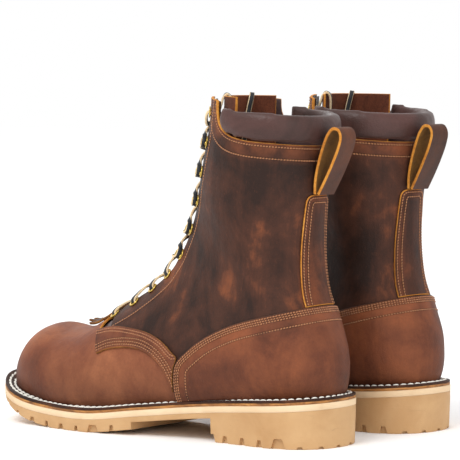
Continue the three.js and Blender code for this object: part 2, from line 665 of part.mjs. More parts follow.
// The padded collar: an oval roll over the quarters' top line, from one front corner to the other.
function collar() {
  const rings = [];
  const steps = 16;
  const lineAt = (points, y) => {
    for (let i = 1; i < points.length; i++)
      if (y <= points[i][0])
        return THREE.MathUtils.mapLinear(y, points[i - 1][0], points[i][0], points[i - 1][1], points[i][1]);
    return points[points.length - 1][1];
  };
  const topLine = [[60, 249], [67, 248.3], [78, 244.2], [92, 242], [117, 240], [160, 236]];
  const bottomLine = [[60, 250], ...COLLAR_LINE.slice(2), [200, 211]];
  // v where the last's line of constant u crosses a line seen from the side.
  const crossing = (u, line) => {
    let [low, high] = [14, LAST_SECTION];
    for (let i = 0; i < 40; i++) {
      const middle = (low + high) / 2;
      const p = lastPoint(middle, u);
      const y = (p.y * REF.length) / SOLE_LENGTH;
      if (p.z < Z(lineAt(line, y))) low = middle;
      else high = middle;
    }
    return low;
  };
  const frontU = locate(74, 240).u;
  for (let i = 0; i <= steps; i++) {
    const u = frontU * (1 - (2 * i) / steps);
    const bottom = offLast(crossing(u, bottomLine), u, 1).add(new THREE.Vector3(0, 0, GAP + 0.3));
    const top = offLast(crossing(u, topLine), u, 1);
    const middleV = (crossing(u, bottomLine) + crossing(u, topLine)) / 2;
    const out = lastNormal(middleV, u).setZ(0).normalize();
    const up = top.clone().sub(bottom);
    const centre = bottom.clone().addScaledVector(up, 0.5);
    const fade = Math.min(1, 0.45 + 0.11 * Math.min(i, steps - i) * 1.2);
    const ring = [];
    const corners = 8;
    for (let j = 0; j < corners; j++) {
      const a = (2 * Math.PI * j) / corners;
      ring.push(
        centre
          .clone()
          .addScaledVector(up, 0.5 * Math.sign(Math.sin(a)) * Math.abs(Math.sin(a)) ** 0.8)
          .addScaledVector(out, 0.5 * COLLAR_PAD * fade * Math.cos(a) + 0.6),
      );
    }
    rings.push(ring);
  }
  return skin(rings);
}
// The board inside, between the stiffeners.
const insole = () => biggest(grown(-STIFFENER - 2 * GAP, COARSE).intersect(overWelt(GAP, GAP + INSOLE)));
function toePuff() {
  return biggest(
    layer(-GAP - STIFFENER, -GAP, COARSE)
      .subtract(floorCut)
      .intersect(box([-100, -400, 0], [100, Y(-104), Z(200)])),
  );
}
function heelStiffener() {
  const outline = [[84, -50], [84, 62], [92, 76], [108, 86], [200, 96], [200, -50]];
  return biggest(layer(-GAP - STIFFENER, -GAP, COARSE).subtract(floorCut).intersect(sidePrism(outline)));
}

// ---- Straps and lace -----------------------------------------------------------------------------
// A strap of rectangular section along points seen from the side.
function strap(points, width, thickness, steps) {
  const line = new THREE.CatmullRomCurve3(
    points.map(([y, z]) => new THREE.Vector3(0, y, z)), false, "centripetal");
  const rings = [];
  for (let i = 0; i <= steps; i++) {
    const at = line.getPointAt(i / steps);
    const along = line.getTangentAt(i / steps);
    const out = new THREE.Vector3(0, -along.z, along.y).multiplyScalar(thickness / 2);
    const side = new THREE.Vector3(width / 2, 0, 0);
    rings.push([
      at.clone().sub(side).sub(out),
      at.clone().add(side).sub(out),
      at.clone().add(side).add(out),
      at.clone().sub(side).add(out),
    ]);
  }
  return skin(rings);
}
const loopRoot = () => {
  const { v } = locate(129.8, STAY_TOP);
  const p = lastPoint(v, 0.001);
  return { y: p.y, z: Z(STAY_TOP) + 1 };
};
function pullLoop() {
  const { y, z } = loopRoot();
  const t = LOOP_LEATHER;
  // From the inner end by the shaft, over the top and down to the outer end.
  const path = [
    [4.8, 0], [5.4, 10], [8.4, 23], [12.5, 35], [16, 42.5], [20, 46.6], [24.6, 46], [27, 41.5],
    [25.5, 34], [20.2, 22], [13.8, 10], [4.8 + t + 0.9, 0],
  ];
  return strap(path.map(([dy, dz]) => [y + dy, z + dz]), LOOP_WIDTH, t, 24);
}

// The lace's route: a bar inside across the lowest eyelets, criss-cross to the hooks, round them and
// through the top eyelets, with both ends tucked down inside the shaft.
const OVER = UPPER_LEATHER + GAP + LACE / 2 + 0.9;
const UNDER = (FACING.low + TONGUE.high) / 2 - 0.6;
const CROSSING = OVER + 0.6;
// A point beside lace hole i: away from the middle, up the row and out from the last.
function beside(i, side, away, up, out) {
  const frame = holeFrame(i, side);
  const rowUp = new THREE.Vector3().setFromMatrixColumn(frame, 1).multiplyScalar(side);
  return new THREE.Vector3()
    .setFromMatrixPosition(frame)
    .addScaledVector(new THREE.Vector3().setFromMatrixColumn(frame, 0), away)
    .addScaledVector(rowUp, up)
    .addScaledVector(new THREE.Vector3().setFromMatrixColumn(frame, 2), out);
}
// A point on the middle line between lace rows i and i + 1.
function midway(i, share, out) {
  const at = [laceRow[i], laceRow[Math.min(i + 1, LACE_ROW_PAIRS - 1)]];
  const v = THREE.MathUtils.lerp(at[0].v, at[1].v, share);
  return offLast(v, Math.PI - 0.001, out);
}
function strand(side, lift) {
  const route = [beside(0, side, -6.5, 0, UNDER), beside(0, side, -0.5, 0, UNDER)];
  route.push(beside(0, side, 0, 0, FACING.low), beside(0, side, 0, 0, OVER - 0.8));
  let here = side;
  for (let i = 0; i + 1 < LACE_ROW_PAIRS; i++) {
    const rise = isHook(i) ? 2.5 : 0;
    route.push(beside(i, here, -6.5, 3 + rise, OVER + 0.6));
    route.push(midway(i, 0.5, CROSSING + lift));
    here = -here;
    const next = i + 1;
    if (isHook(next)) {
      const round = HOOK_STEM + LACE / 2 + 1;
      const held = OVER + 0.8;
      route.push(beside(next, here, -6, -round - 2.2, held));
      route.push(beside(next, here, 0.5, -round, held), beside(next, here, round, 0, held));
      route.push(beside(next, here, 0.5, round, held));
    } else if (next === LACE_ROW_PAIRS - 1) {
      route.push(beside(next, here, -5, -9, OVER + 0.6), beside(next, here, 0, -1.5, OVER + 0.6));
      route.push(beside(next, here, 0, 0, OVER - 1), beside(next, here, 0, 0, FACING.low - 0.6));
    } else {
      route.push(beside(next, here, -6.5, -3, UNDER), beside(next, here, -0.5, 0, UNDER));
      route.push(beside(next, here, 0, 0, FACING.low), beside(next, here, 0, 0, OVER - 0.8));
    }
  }
  // The end goes up between facing and tongue, over the tongue's top and down inside the shaft.
  const behind = TONGUE.low - LACE - 0.5;
  const tail = [[-3, 6, UNDER], [-5, 12, UNDER - 1], [-6, 15.5, TONGUE.low + 0.5], [-7, 13, behind],
    [-8, 0, behind - 1], [-8, -22, behind - 1], [-7, -44, behind]];
  for (const [away, up, out] of tail) route.push(beside(LACE_ROW_PAIRS - 1, here, away, up, out));
  return route;
}
function laceLine() {
  const one = strand(1, 0);
  const other = strand(-1, LACE + 0.5);
  return new THREE.CatmullRomCurve3([...one.reverse(), ...other], false, "centripetal");
}
const laceTubes = new Map();
function laceTube(radius) {
  if (laceTubes.has(radius)) return laceTubes.get(radius);
  const sides = 4;
  const corners = Array.from({ length: sides }, (_, j) => {
    const a = (2 * Math.PI * j) / sides;
    return new THREE.Vector2(Math.cos(a), Math.sin(a)).multiplyScalar(radius);
  });
  const g = new THREE.ExtrudeGeometry(new THREE.Shape(corners), {
    extrudePath: laceLine(),
    steps: LACE_STEPS,
    bevelEnabled: false,
  });
  laceTubes.set(radius, toSolid(g));
  return laceTubes.get(radius);
}

// ---- Materials and assembly ---------------------------------------------------------------------
const paint = (color, roughness, metalness = 0) =>
  new THREE.MeshStandardMaterial({ color, roughness, metalness });
const MATERIALS = {
  oiledLeather: paint(0x5b3524, 0.55),
  collarLeather: paint(0x4a3433, 0.5),
  suede: paint(0x4a2a1c, 0.95),
  soleLeather: paint(0x9a6a35, 0.7),
  gumRubber: paint(0xb8936a, 0.7),
  lightRubber: paint(0xd8bd98, 0.75),
  cork: paint(0x9b7a55, 0.95),
  steel: paint(0x8a8d90, 0.35, 1),
  brass: paint(0xc9a24e, 0.3, 1),
  board: paint(0x7a6a55, 0.9),
  laceCord: paint(0x1f1f22, 0.85),
};
const PIECES = [
  ["outsole", outsole, "gumRubber"],
  ["rubber_midsole", () => soleSlab(rubberBottom, under(leatherBottom)), "lightRubber"],
  ["leather_midsole", () => soleSlab(leatherBottom, under(weltBottom)), "soleLeather"],
  ["welt", weltRing, "oiledLeather"],
  ["cork_filler", corkFiller, "cork"],
  ["shank", () => shankBox(0), "steel"],
  ["insole", insole, "soleLeather"],
  ["toe_puff", toePuff, "board"],
  ["heel_stiffener", heelStiffener, "board"],
  ["vamp", vamp, "oiledLeather"],
  ["quarter_lateral", () => quarter(1), "oiledLeather"],
  ["quarter_medial", () => quarter(-1), "oiledLeather"],
  ["wing_lateral", () => wing(1), "oiledLeather"],
  ["wing_medial", () => wing(-1), "oiledLeather"],
  ["heel_counter", counter, "oiledLeather"],
  ["backstay", backstay, "oiledLeather"],
  ["collar", collar, "collarLeather"],
  ["facing_lateral", () => facing(1), "suede"],
  ["facing_medial", () => facing(-1), "suede"],
  ["lace_hardware_lateral", () => laceHardware(1), "brass"],
  ["lace_hardware_medial", () => laceHardware(-1), "brass"],
  ["tongue", tongue, "suede"],
  ["kiltie", kiltie, "oiledLeather"],
  ["pull_loop", pullLoop, "oiledLeather"],
  ["lace", () => laceTube(LACE / 2), "laceCord"],
];

const pair = new THREE.Group();
function boot(prefix) {
  const group = new THREE.Group();
  const mirror = prefix === "right" ? -1 : 1;
  for (const [name, make, material] of PIECES) {
    const geometry = toGeometry(solids.get(name) ?? solids.set(name, make()).get(name));
    const mesh = new THREE.Mesh(geometry, MATERIALS[material]);
    mesh.name = `${prefix}_${name}`;
    group.add(mesh);
  }
  group.scale.x = mirror;
  return group;
}
const solids = new Map();
const left = boot("left");
left.position.x = BOOT_SPACING / 2;
const right = boot("right");
right.position.set(-BOOT_SPACING / 2, -RIGHT_FORWARD, 0);
right.rotation.z = THREE.MathUtils.degToRad(RIGHT_TURN);
pair.add(left, right);

// The pair's origin is on the ground, under the middle of its box.
pair.updateMatrixWorld(true);
const bounds = new THREE.Box3().setFromObject(pair, true);
const middle = bounds.getCenter(new THREE.Vector3());
const centred = new THREE.Group();
pair.position.set(-middle.x, -middle.y, -bounds.min.z);
centred.add(pair);

export default centred;
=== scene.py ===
"""The looks of a pair of eight-inch laced leather fire boots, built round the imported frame.

Every boot is shaped in its own frame, in millimetres: x > 0 is the lateral, outer side, toes towards -y and
z up from the ground. place() puts it into the row frame, in metres, mirrored for the right boot.
"""

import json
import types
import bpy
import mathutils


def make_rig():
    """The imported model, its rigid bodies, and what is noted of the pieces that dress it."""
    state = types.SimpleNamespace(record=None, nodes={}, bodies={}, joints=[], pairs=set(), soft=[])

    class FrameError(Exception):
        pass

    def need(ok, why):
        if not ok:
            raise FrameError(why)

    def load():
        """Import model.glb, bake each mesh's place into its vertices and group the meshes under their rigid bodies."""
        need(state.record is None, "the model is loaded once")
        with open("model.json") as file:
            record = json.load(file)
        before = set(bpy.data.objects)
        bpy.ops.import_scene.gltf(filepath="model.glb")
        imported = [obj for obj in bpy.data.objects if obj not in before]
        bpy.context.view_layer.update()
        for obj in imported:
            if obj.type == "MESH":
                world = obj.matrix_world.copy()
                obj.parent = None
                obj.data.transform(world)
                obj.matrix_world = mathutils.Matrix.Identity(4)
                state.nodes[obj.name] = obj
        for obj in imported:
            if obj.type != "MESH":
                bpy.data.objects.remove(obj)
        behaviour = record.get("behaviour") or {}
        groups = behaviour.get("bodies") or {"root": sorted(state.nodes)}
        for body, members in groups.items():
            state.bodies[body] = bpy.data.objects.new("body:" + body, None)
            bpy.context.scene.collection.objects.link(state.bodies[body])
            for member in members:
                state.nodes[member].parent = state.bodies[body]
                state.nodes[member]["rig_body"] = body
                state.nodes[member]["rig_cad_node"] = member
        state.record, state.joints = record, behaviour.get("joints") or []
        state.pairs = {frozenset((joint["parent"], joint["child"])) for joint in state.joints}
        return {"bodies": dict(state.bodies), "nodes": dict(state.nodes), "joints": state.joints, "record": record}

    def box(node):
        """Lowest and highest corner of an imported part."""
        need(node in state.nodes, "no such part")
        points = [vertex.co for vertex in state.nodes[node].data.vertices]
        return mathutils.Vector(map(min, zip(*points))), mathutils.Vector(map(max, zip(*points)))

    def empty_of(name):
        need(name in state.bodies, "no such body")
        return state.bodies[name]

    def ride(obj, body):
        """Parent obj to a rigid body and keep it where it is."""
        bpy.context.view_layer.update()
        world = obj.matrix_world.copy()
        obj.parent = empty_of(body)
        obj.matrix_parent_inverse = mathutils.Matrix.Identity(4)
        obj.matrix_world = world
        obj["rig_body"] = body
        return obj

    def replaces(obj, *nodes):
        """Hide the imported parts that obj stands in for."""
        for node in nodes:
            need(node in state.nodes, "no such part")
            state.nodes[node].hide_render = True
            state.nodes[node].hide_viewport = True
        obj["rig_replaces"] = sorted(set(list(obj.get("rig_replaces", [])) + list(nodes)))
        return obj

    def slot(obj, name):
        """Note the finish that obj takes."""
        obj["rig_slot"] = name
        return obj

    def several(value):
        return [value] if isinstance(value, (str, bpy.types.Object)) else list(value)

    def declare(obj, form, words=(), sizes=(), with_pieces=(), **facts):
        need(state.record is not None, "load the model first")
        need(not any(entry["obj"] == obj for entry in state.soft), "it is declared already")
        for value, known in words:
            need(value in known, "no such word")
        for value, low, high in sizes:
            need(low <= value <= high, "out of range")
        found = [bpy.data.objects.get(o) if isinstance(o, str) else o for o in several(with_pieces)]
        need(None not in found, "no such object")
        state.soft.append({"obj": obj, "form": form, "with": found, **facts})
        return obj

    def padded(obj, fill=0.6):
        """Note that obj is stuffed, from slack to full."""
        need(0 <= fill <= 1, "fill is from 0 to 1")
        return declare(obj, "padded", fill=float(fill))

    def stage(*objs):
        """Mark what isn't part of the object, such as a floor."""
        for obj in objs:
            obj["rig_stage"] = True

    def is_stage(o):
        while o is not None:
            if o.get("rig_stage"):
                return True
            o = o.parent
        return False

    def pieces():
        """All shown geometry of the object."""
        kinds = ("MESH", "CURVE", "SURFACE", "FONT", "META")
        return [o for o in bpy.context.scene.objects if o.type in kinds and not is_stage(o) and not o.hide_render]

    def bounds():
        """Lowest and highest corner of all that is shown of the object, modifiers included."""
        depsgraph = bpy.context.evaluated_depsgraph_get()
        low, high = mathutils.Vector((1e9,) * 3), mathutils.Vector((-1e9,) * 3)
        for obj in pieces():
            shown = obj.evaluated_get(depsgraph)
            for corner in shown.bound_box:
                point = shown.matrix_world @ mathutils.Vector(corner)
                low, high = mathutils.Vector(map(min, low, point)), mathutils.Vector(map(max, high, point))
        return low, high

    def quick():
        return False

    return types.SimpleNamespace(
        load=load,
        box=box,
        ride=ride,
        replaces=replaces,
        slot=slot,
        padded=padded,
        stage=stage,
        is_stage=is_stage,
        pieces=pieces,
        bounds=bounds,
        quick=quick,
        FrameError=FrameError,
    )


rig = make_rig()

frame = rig.load()
CAD_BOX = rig.bounds()

import json
import math

import bmesh
import bpy
import numpy as np
from mathutils import Vector, noise

MM = 0.001
PI = math.pi

# ---- Sizes that the frame was built from, in millimetres -----------------------------------------
SOLE_LENGTH = 306
BALL_WIDTH = 106
TOP_HEIGHT = 250
LUG_DEPTH = 5.4
NOTCH = {"pitch": 16.2, "narrow": 4.6, "wide": 9, "depth": 12}
WIDE_NOTCH_EVERY = 11
OUTSOLE_BASE, RUBBER_MIDSOLE, LEATHER_MIDSOLE, WELT = 4, 4.8, 2, 1.8
UPPER_LEATHER, OVERLAY_LEATHER, FACING_LEATHER, STAY_TAPE, TONGUE_LEATHER = 2, 1.8, 1.4, 0.6, 2
COLLAR_PAD = 12
LOOP_WIDTH, LOOP_LEATHER = 18.5, 2.2
LACE = 2
THROAT_GAP = (12, 16)
FACING_WIDTH = 17
BACKSTAY_WIDTH = (37, 25)
STAY_TOP = 181
STITCH_PITCH = 2.15  # the upper's stitches
# Stitch rows, in from the edge that they follow; the leather is pressed in along the same ones, and painted shade
# darkens them.
STITCH_ROWS = {"wing": (2.0, 4.1, 6.4), "wing_top": (1.7, 3.7), "quarter": (2.4, 11),
               "counter": (1.8, 3.4, 5.0, 11.5), "stay": (1.8, 5.2)}
GAP = 0.3
RIGHT_TURN = math.radians(-6.4)
SHANK_MIDDLE = 28 * SOLE_LENGTH / 308
REF = {"length": 308, "ball": 106, "top": 252, "base": 20}
FOREFOOT = WELT + LEATHER_MIDSOLE + RUBBER_MIDSOLE + OUTSOLE_BASE + LUG_DEPTH
OVERLAY_LOW = UPPER_LEATHER + GAP
OVERLAY_HIGH = OVERLAY_LOW + OVERLAY_LEATHER
FACING_HIGH = -GAP - STAY_TAPE - GAP
FACING_LOW = FACING_HIGH - FACING_LEATHER
TONGUE_HIGH = FACING_LOW - LACE - 2.6
TONGUE_LOW = TONGUE_HIGH - TONGUE_LEATHER


def Y(y):
    return y * SOLE_LENGTH / REF["length"]


def Z(z):
    return FOREFOOT + (z - REF["base"]) * (TOP_HEIGHT - FOREFOOT) / (REF["top"] - REF["base"])


def refY(y):
    return y * REF["length"] / SOLE_LENGTH


# ---- Where the boots stand ------------------------------------------------------------------------
def middle_of(node):
    low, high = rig.box(node)
    return np.array((low + high) / 2) / MM


def spin(points, angle):
    c, s = math.cos(angle), math.sin(angle)
    out = np.array(points, float).copy()
    x, y = out[..., 0].copy(), out[..., 1].copy()
    out[..., 0], out[..., 1] = c * x - s * y, s * x + c * y
    return out


LEFT_AT = np.array([middle_of("left_shank")[0], middle_of("left_welt")[1], 0])
RIGHT_AT = middle_of("right_shank") * (1, 1, 0) - spin([0, SHANK_MIDDLE, 0], RIGHT_TURN)


def place(points, boot):
    """A boot's own points, in mm, in the row frame, in metres."""
    points = np.asarray(points, float)
    if boot == "left":
        return (points + LEFT_AT) * MM
    return (spin(points * (-1, 1, 1), RIGHT_TURN) + RIGHT_AT) * MM


# ---- Camera, floor and light ----------------------------------------------------------------------
# Degrees, metres, and millimetres for the sensor and the lens.
CAMERA = {"azimuth": 127.78, "elevation": 3.6, "distance": 2.16, "target": (0.0293, 0.0169, 0.1481),
          "sensor": 36, "lens": 226.3}


def aim(obj, at, target):
    obj.location = at
    obj.rotation_euler = (Vector(target) - Vector(at)).to_track_quat("-Z", "Y").to_euler()


def make_camera():
    azimuth, elevation = math.radians(CAMERA["azimuth"]), math.radians(CAMERA["elevation"])
    target = Vector(CAMERA["target"])
    back = Vector((math.sin(azimuth) * math.cos(elevation),
                   -math.cos(azimuth) * math.cos(elevation), math.sin(elevation)))
    data = bpy.data.cameras.new("camera")
    data.sensor_width, data.lens = CAMERA["sensor"], CAMERA["lens"]
    camera = bpy.data.objects.new("camera", data)
    bpy.context.scene.collection.objects.link(camera)
    aim(camera, target + back * CAMERA["distance"], target)
    bpy.context.scene.camera = camera


def area_light(name, at, target, size, watts):
    data = bpy.data.lights.new(name, "AREA")
    data.shape, data.size, data.energy = "DISK", size, watts
    lamp = bpy.data.objects.new(name, data)
    bpy.context.scene.collection.objects.link(lamp)
    aim(lamp, at, target)


make_camera()


def plain_stage():
    material = bpy.data.materials.new("studio_floor")
    material.use_nodes = True
    shader = material.node_tree.nodes["Principled BSDF"]
    shader.inputs["Base Color"].default_value = (1, 1, 1, 1)
    shader.inputs["Roughness"].default_value = 1.0
    shader.inputs["Specular IOR Level"].default_value = 0.0
    mesh = bpy.data.meshes.new("studio_floor")
    reach, depth = 6, 9
    mesh.from_pydata([(-reach, -depth, 0), (reach, -depth, 0), (reach, depth, 0), (-reach, depth, 0)],
                     [], [(0, 1, 2, 3)])
    mesh.materials.append(material)
    floor = bpy.data.objects.new("studio_floor", mesh)
    bpy.context.scene.collection.objects.link(floor)
    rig.stage(floor)
    world = bpy.data.worlds.new("studio")
    world.use_nodes = True
    world.node_tree.nodes["Background"].inputs["Color"].default_value = (1, 1, 1, 1)
    world.node_tree.nodes["Background"].inputs["Strength"].default_value = 1.0
    bpy.context.scene.world = world
    area_light("key", (1.5, 0.1, 1.9), (0.03, 0, 0.1), 1.1, 22)
    area_light("fill", (1.2, 2.2, 0.9), (0.03, 0, 0.12), 1.6, 7)
    area_light("rim", (-1.2, -1.8, 1.4), (0, 0, 0.12), 1.2, 7)


plain_stage()


# ---- The last ---------------------------------------------------------------------------------------
def curve(pairs):
    """A smooth function through [at, value] pairs, level past the ends."""
    at = np.array([p[0] for p in pairs], float)
    value = np.array([p[1] for p in pairs], float)
    before = np.maximum(np.arange(len(at)) - 1, 0)
    after = np.minimum(np.arange(len(at)) + 1, len(at) - 1)
    slope = (value[after] - value[before]) / (at[after] - at[before])

    def f(t):
        t = np.clip(t, at[0], at[-1])
        i = np.clip(np.searchsorted(at, t, "right") - 1, 0, len(at) - 2)
        span = at[i + 1] - at[i]
        s = (t - at[i]) / span
        p, q, m, n = value[i], value[i + 1], slope[i] * span, slope[i + 1] * span
        return (((2 * (p - q) + m + n) * s + 3 * (q - p) - 2 * m - n) * s + m) * s + p

    return f


SECTIONS = [
    [-142.5, 30, -142.5, 40, 4, 6, 0.5, 2, 2],
    [-140, 23, -140, 49, 17, 20, 0.45, 2.6, 2],
    [-133, 18, -134, 60.5, 27.5, 30, 0.42, 3.2, 2.05],
    [-121, 16, -123, 70, 36, 38, 0.4, 3.6, 2.1],
    [-105, 14, -109, 74.5, 42, 42.5, 0.38, 4, 2.1],
    [-85, 12, -90, 72.5, 46.5, 45.5, 0.37, 4.4, 2.05],
    [-57, 11, -71, 75, 48.5, 46, 0.36, 4.4, 2],
    [-25, 13, -53, 85, 47.5, 43, 0.35, 4.2, 1.85],
    [13, 18, -35, 97, 43.5, 38.5, 0.36, 3.8, 1.75],
    [66, 22, -17, 109, 40, 36.5, 0.37, 3.2, 1.7],
    [118, 25, -3, 121, 38.5, 37, 0.36, 2.8, 1.7],
    [142, 36, 8, 135, 38, 37, 0.34, 2.3, 1.7],
    [147, 60, 17, 151, 37, 36, 0.34, 2, 1.7],
    [140.5, 85, 24, 167, 36, 34.5, 0.38, 1.85, 1.7],
    [131.5, 108, 29, 182, 37, 34, 0.43, 1.75, 1.7],
    [127.5, 135, 33, 197, 39, 37, 0.47, 1.75, 1.7],
    [128, 165, 37.5, 212, 40, 41, 0.49, 1.8, 1.7],
    [131.5, 200, 42, 230, 40, 44.5, 0.5, 1.9, 1.7],
    [132.5, 236, 44.5, 252, 40, 45.5, 0.5, 1.95, 1.7],
    [133, 262, 45, 276, 40, 45.5, 0.5, 1.95, 1.7],
]
SECTION = [curve([(k, row[field]) for k, row in enumerate(SECTIONS)]) for field in range(9)]
LAST_SECTION = len(SECTIONS) - 1


def last_point(v, u):
    """v runs along the sections and u round one, from -PI at the front through 0 at the back to PI."""
    v, u = np.asarray(v, float), np.asarray(u, float)
    tip = np.clip(1 + v, 0, 1)  # below v = 0 the toe's first section closes to a point
    by, bz, fy, fz, lateral, medial, widest, square_back, square_front = (c(v) for c in SECTION)
    t = np.abs(u)
    back = t < PI / 2
    along = widest - np.where(back, widest, 1 - widest) * np.cos(t)
    square = np.where(back, square_back, square_front)
    out = np.maximum(np.sin(t), 0) ** (2 / square) * tip
    along = 0.5 + (along - 0.5) * tip
    x = np.where(u > 0, lateral, -medial) * out * BALL_WIDTH / REF["ball"]
    y = Y(by + (fy - by) * along) - 0.6 * (1 - tip ** 2)
    return np.stack([x, y, Z(bz + (fz - bz) * along)], -1)


def last_normal(v, u):
    e = 0.02
    v, u = np.asarray(v, float), np.asarray(u, float)
    v = np.clip(v, -0.95, LAST_SECTION - 2 * e)
    du = last_point(v, np.clip(u + e, -PI, PI)) - last_point(v, np.clip(u - e, -PI, PI))
    dv = last_point(v + e, u) - last_point(v - e, u)
    n = np.cross(dv, du)
    return n / np.maximum(np.linalg.norm(n, axis=-1, keepdims=True), 1e-12)


def off_last(v, u, d):
    return last_point(v, u) + last_normal(v, u) * np.asarray(d, float)[..., None]


def locate(y, z):
    """The v and |u| of the last's point seen at (y, z) from the side, in reference sizes."""
    v = np.arange(0, LAST_SECTION, 0.005)
    by, bz, fy, fz, widest = (SECTION[k](v) for k in (0, 1, 2, 3, 6))
    dy, dz = fy - by, fz - bz
    along = ((y - by) * dy + (z - bz) * dz) / (dy * dy + dz * dz)
    miss = np.hypot(by + dy * along - y, bz + dz * along - z)
    miss[(along <= 0) | (along >= 1)] = 1e9
    k = int(np.argmin(miss))
    a, w = along[k], widest[k]
    c = (w - a) / w if a < w else (w - a) / (1 - w)
    return float(v[k]), math.acos(max(-1, min(1, c)))


welt_rise = curve([(-154, 38.5), (-141, 31.5), (-120, 25), (-95, 21), (-45, 20), (0, 25), (60, 31.5),
                   (154, 39)])


def welt_top(y):
    return Z(welt_rise(refY(y)))


# ---- Smooth lines through points ----------------------------------------------------------------------
def centripetal(points, per_span):
    """Points of a centripetal Catmull-Rom line, and the places among them of the given points."""
    p = np.array(points, float)
    p = np.vstack([2 * p[0] - p[1], p, 2 * p[-1] - p[-2]])
    out, marks = [], []
    for i in range(1, len(p) - 2):
        a, b, c, d = p[i - 1:i + 3]
        t = [max(np.linalg.norm(q - r) ** 0.5, 1e-4) for q, r in ((a, b), (b, c), (c, d))]
        m = ((b - a) / t[0] - (c - a) / (t[0] + t[1]) + (c - b) / t[1]) * t[1]
        n = ((c - b) / t[1] - (d - b) / (t[1] + t[2]) + (d - c) / t[2]) * t[1]
        marks.append(len(out))
        for s in np.arange(per_span) / per_span:
            out.append(b + m * s + (-3 * b + 3 * c - 2 * m - n) * s ** 2
                       + (2 * b - 2 * c + m + n) * s ** 3)
    marks.append(len(out))
    out.append(p[-2])
    return np.array(out), marks


def smooth(points, steps):
    line, _ = centripetal(points, steps)
    return [tuple(p) for p in line]


def resample(line, spacing, start=0.0):
    """Places at an even spacing along a line: (index, share) pairs as one float each."""
    lengths = np.r_[0, np.cumsum(np.linalg.norm(np.diff(line, axis=0), axis=1))]
    if lengths[-1] < spacing:
        return np.array([])
    return np.interp(np.arange(start, lengths[-1], spacing), lengths, np.arange(len(line)))


def at_places(values, places):
    i = np.clip(places.astype(int), 0, len(values) - 2)
    s = (places - i).reshape((-1,) + (1,) * (np.ndim(values) - 1))
    return np.asarray(values)[i] * (1 - s) + np.asarray(values)[i + 1] * s


# ---- Fields: how far a point lies inside a line, in millimetres ---------------------------------------
def side_view(points):
    return np.array([(Y(y), Z(z)) for y, z in points])


def line_distance(points, closed=False):
    a = side_view(points)
    b = np.roll(a, -1, 0) if closed else a[1:]
    a = a if closed else a[:-1]

    def f(P, *_):
        q = P[:, 1:3]
        best = np.full(len(q), 1e18)
        for s, e in zip(a, b):
            d = e - s
            t = np.clip(((q - s) @ d) / max(d @ d, 1e-12), 0, 1)
            best = np.minimum(best, ((q - s - t[:, None] * d) ** 2).sum(1))
        return np.sqrt(best)

    return f


def inside(points, grow=0.0, keep=1):
    """Positive inside an outline seen from the side (keep=1) or outside it (keep=-1)."""
    far = line_distance(points, closed=True)
    a = side_view(points)
    b = np.roll(a, -1, 0)

    def f(P, *_):
        y, z = P[:, 1], P[:, 2]
        within = np.zeros(len(P), bool)
        for (y0, z0), (y1, z1) in zip(a, b):
            if z0 == z1:
                continue
            crossed = (z0 > z) != (z1 > z)
            within ^= crossed & (y < (y1 - y0) * (z - z0) / (z1 - z0) + y0)
        return keep * (np.where(within, 1, -1) * far(P) + grow)

    return f


def over_floor(P, *_):
    return P[:, 2] - welt_top(P[:, 1]) + 0.15


def ramp(pair, z):
    low, high = Z(75), Z(TOP_HEIGHT)
    return pair[0] + (pair[1] - pair[0]) * (z - low) / (high - low)


def beyond_throat(extra=0.0, keep=1):
    return lambda P, *_: keep * (np.abs(P[:, 0]) - ramp(THROAT_GAP, P[:, 2]) - extra) + 500 * (
        P[:, 1] > Y(86))


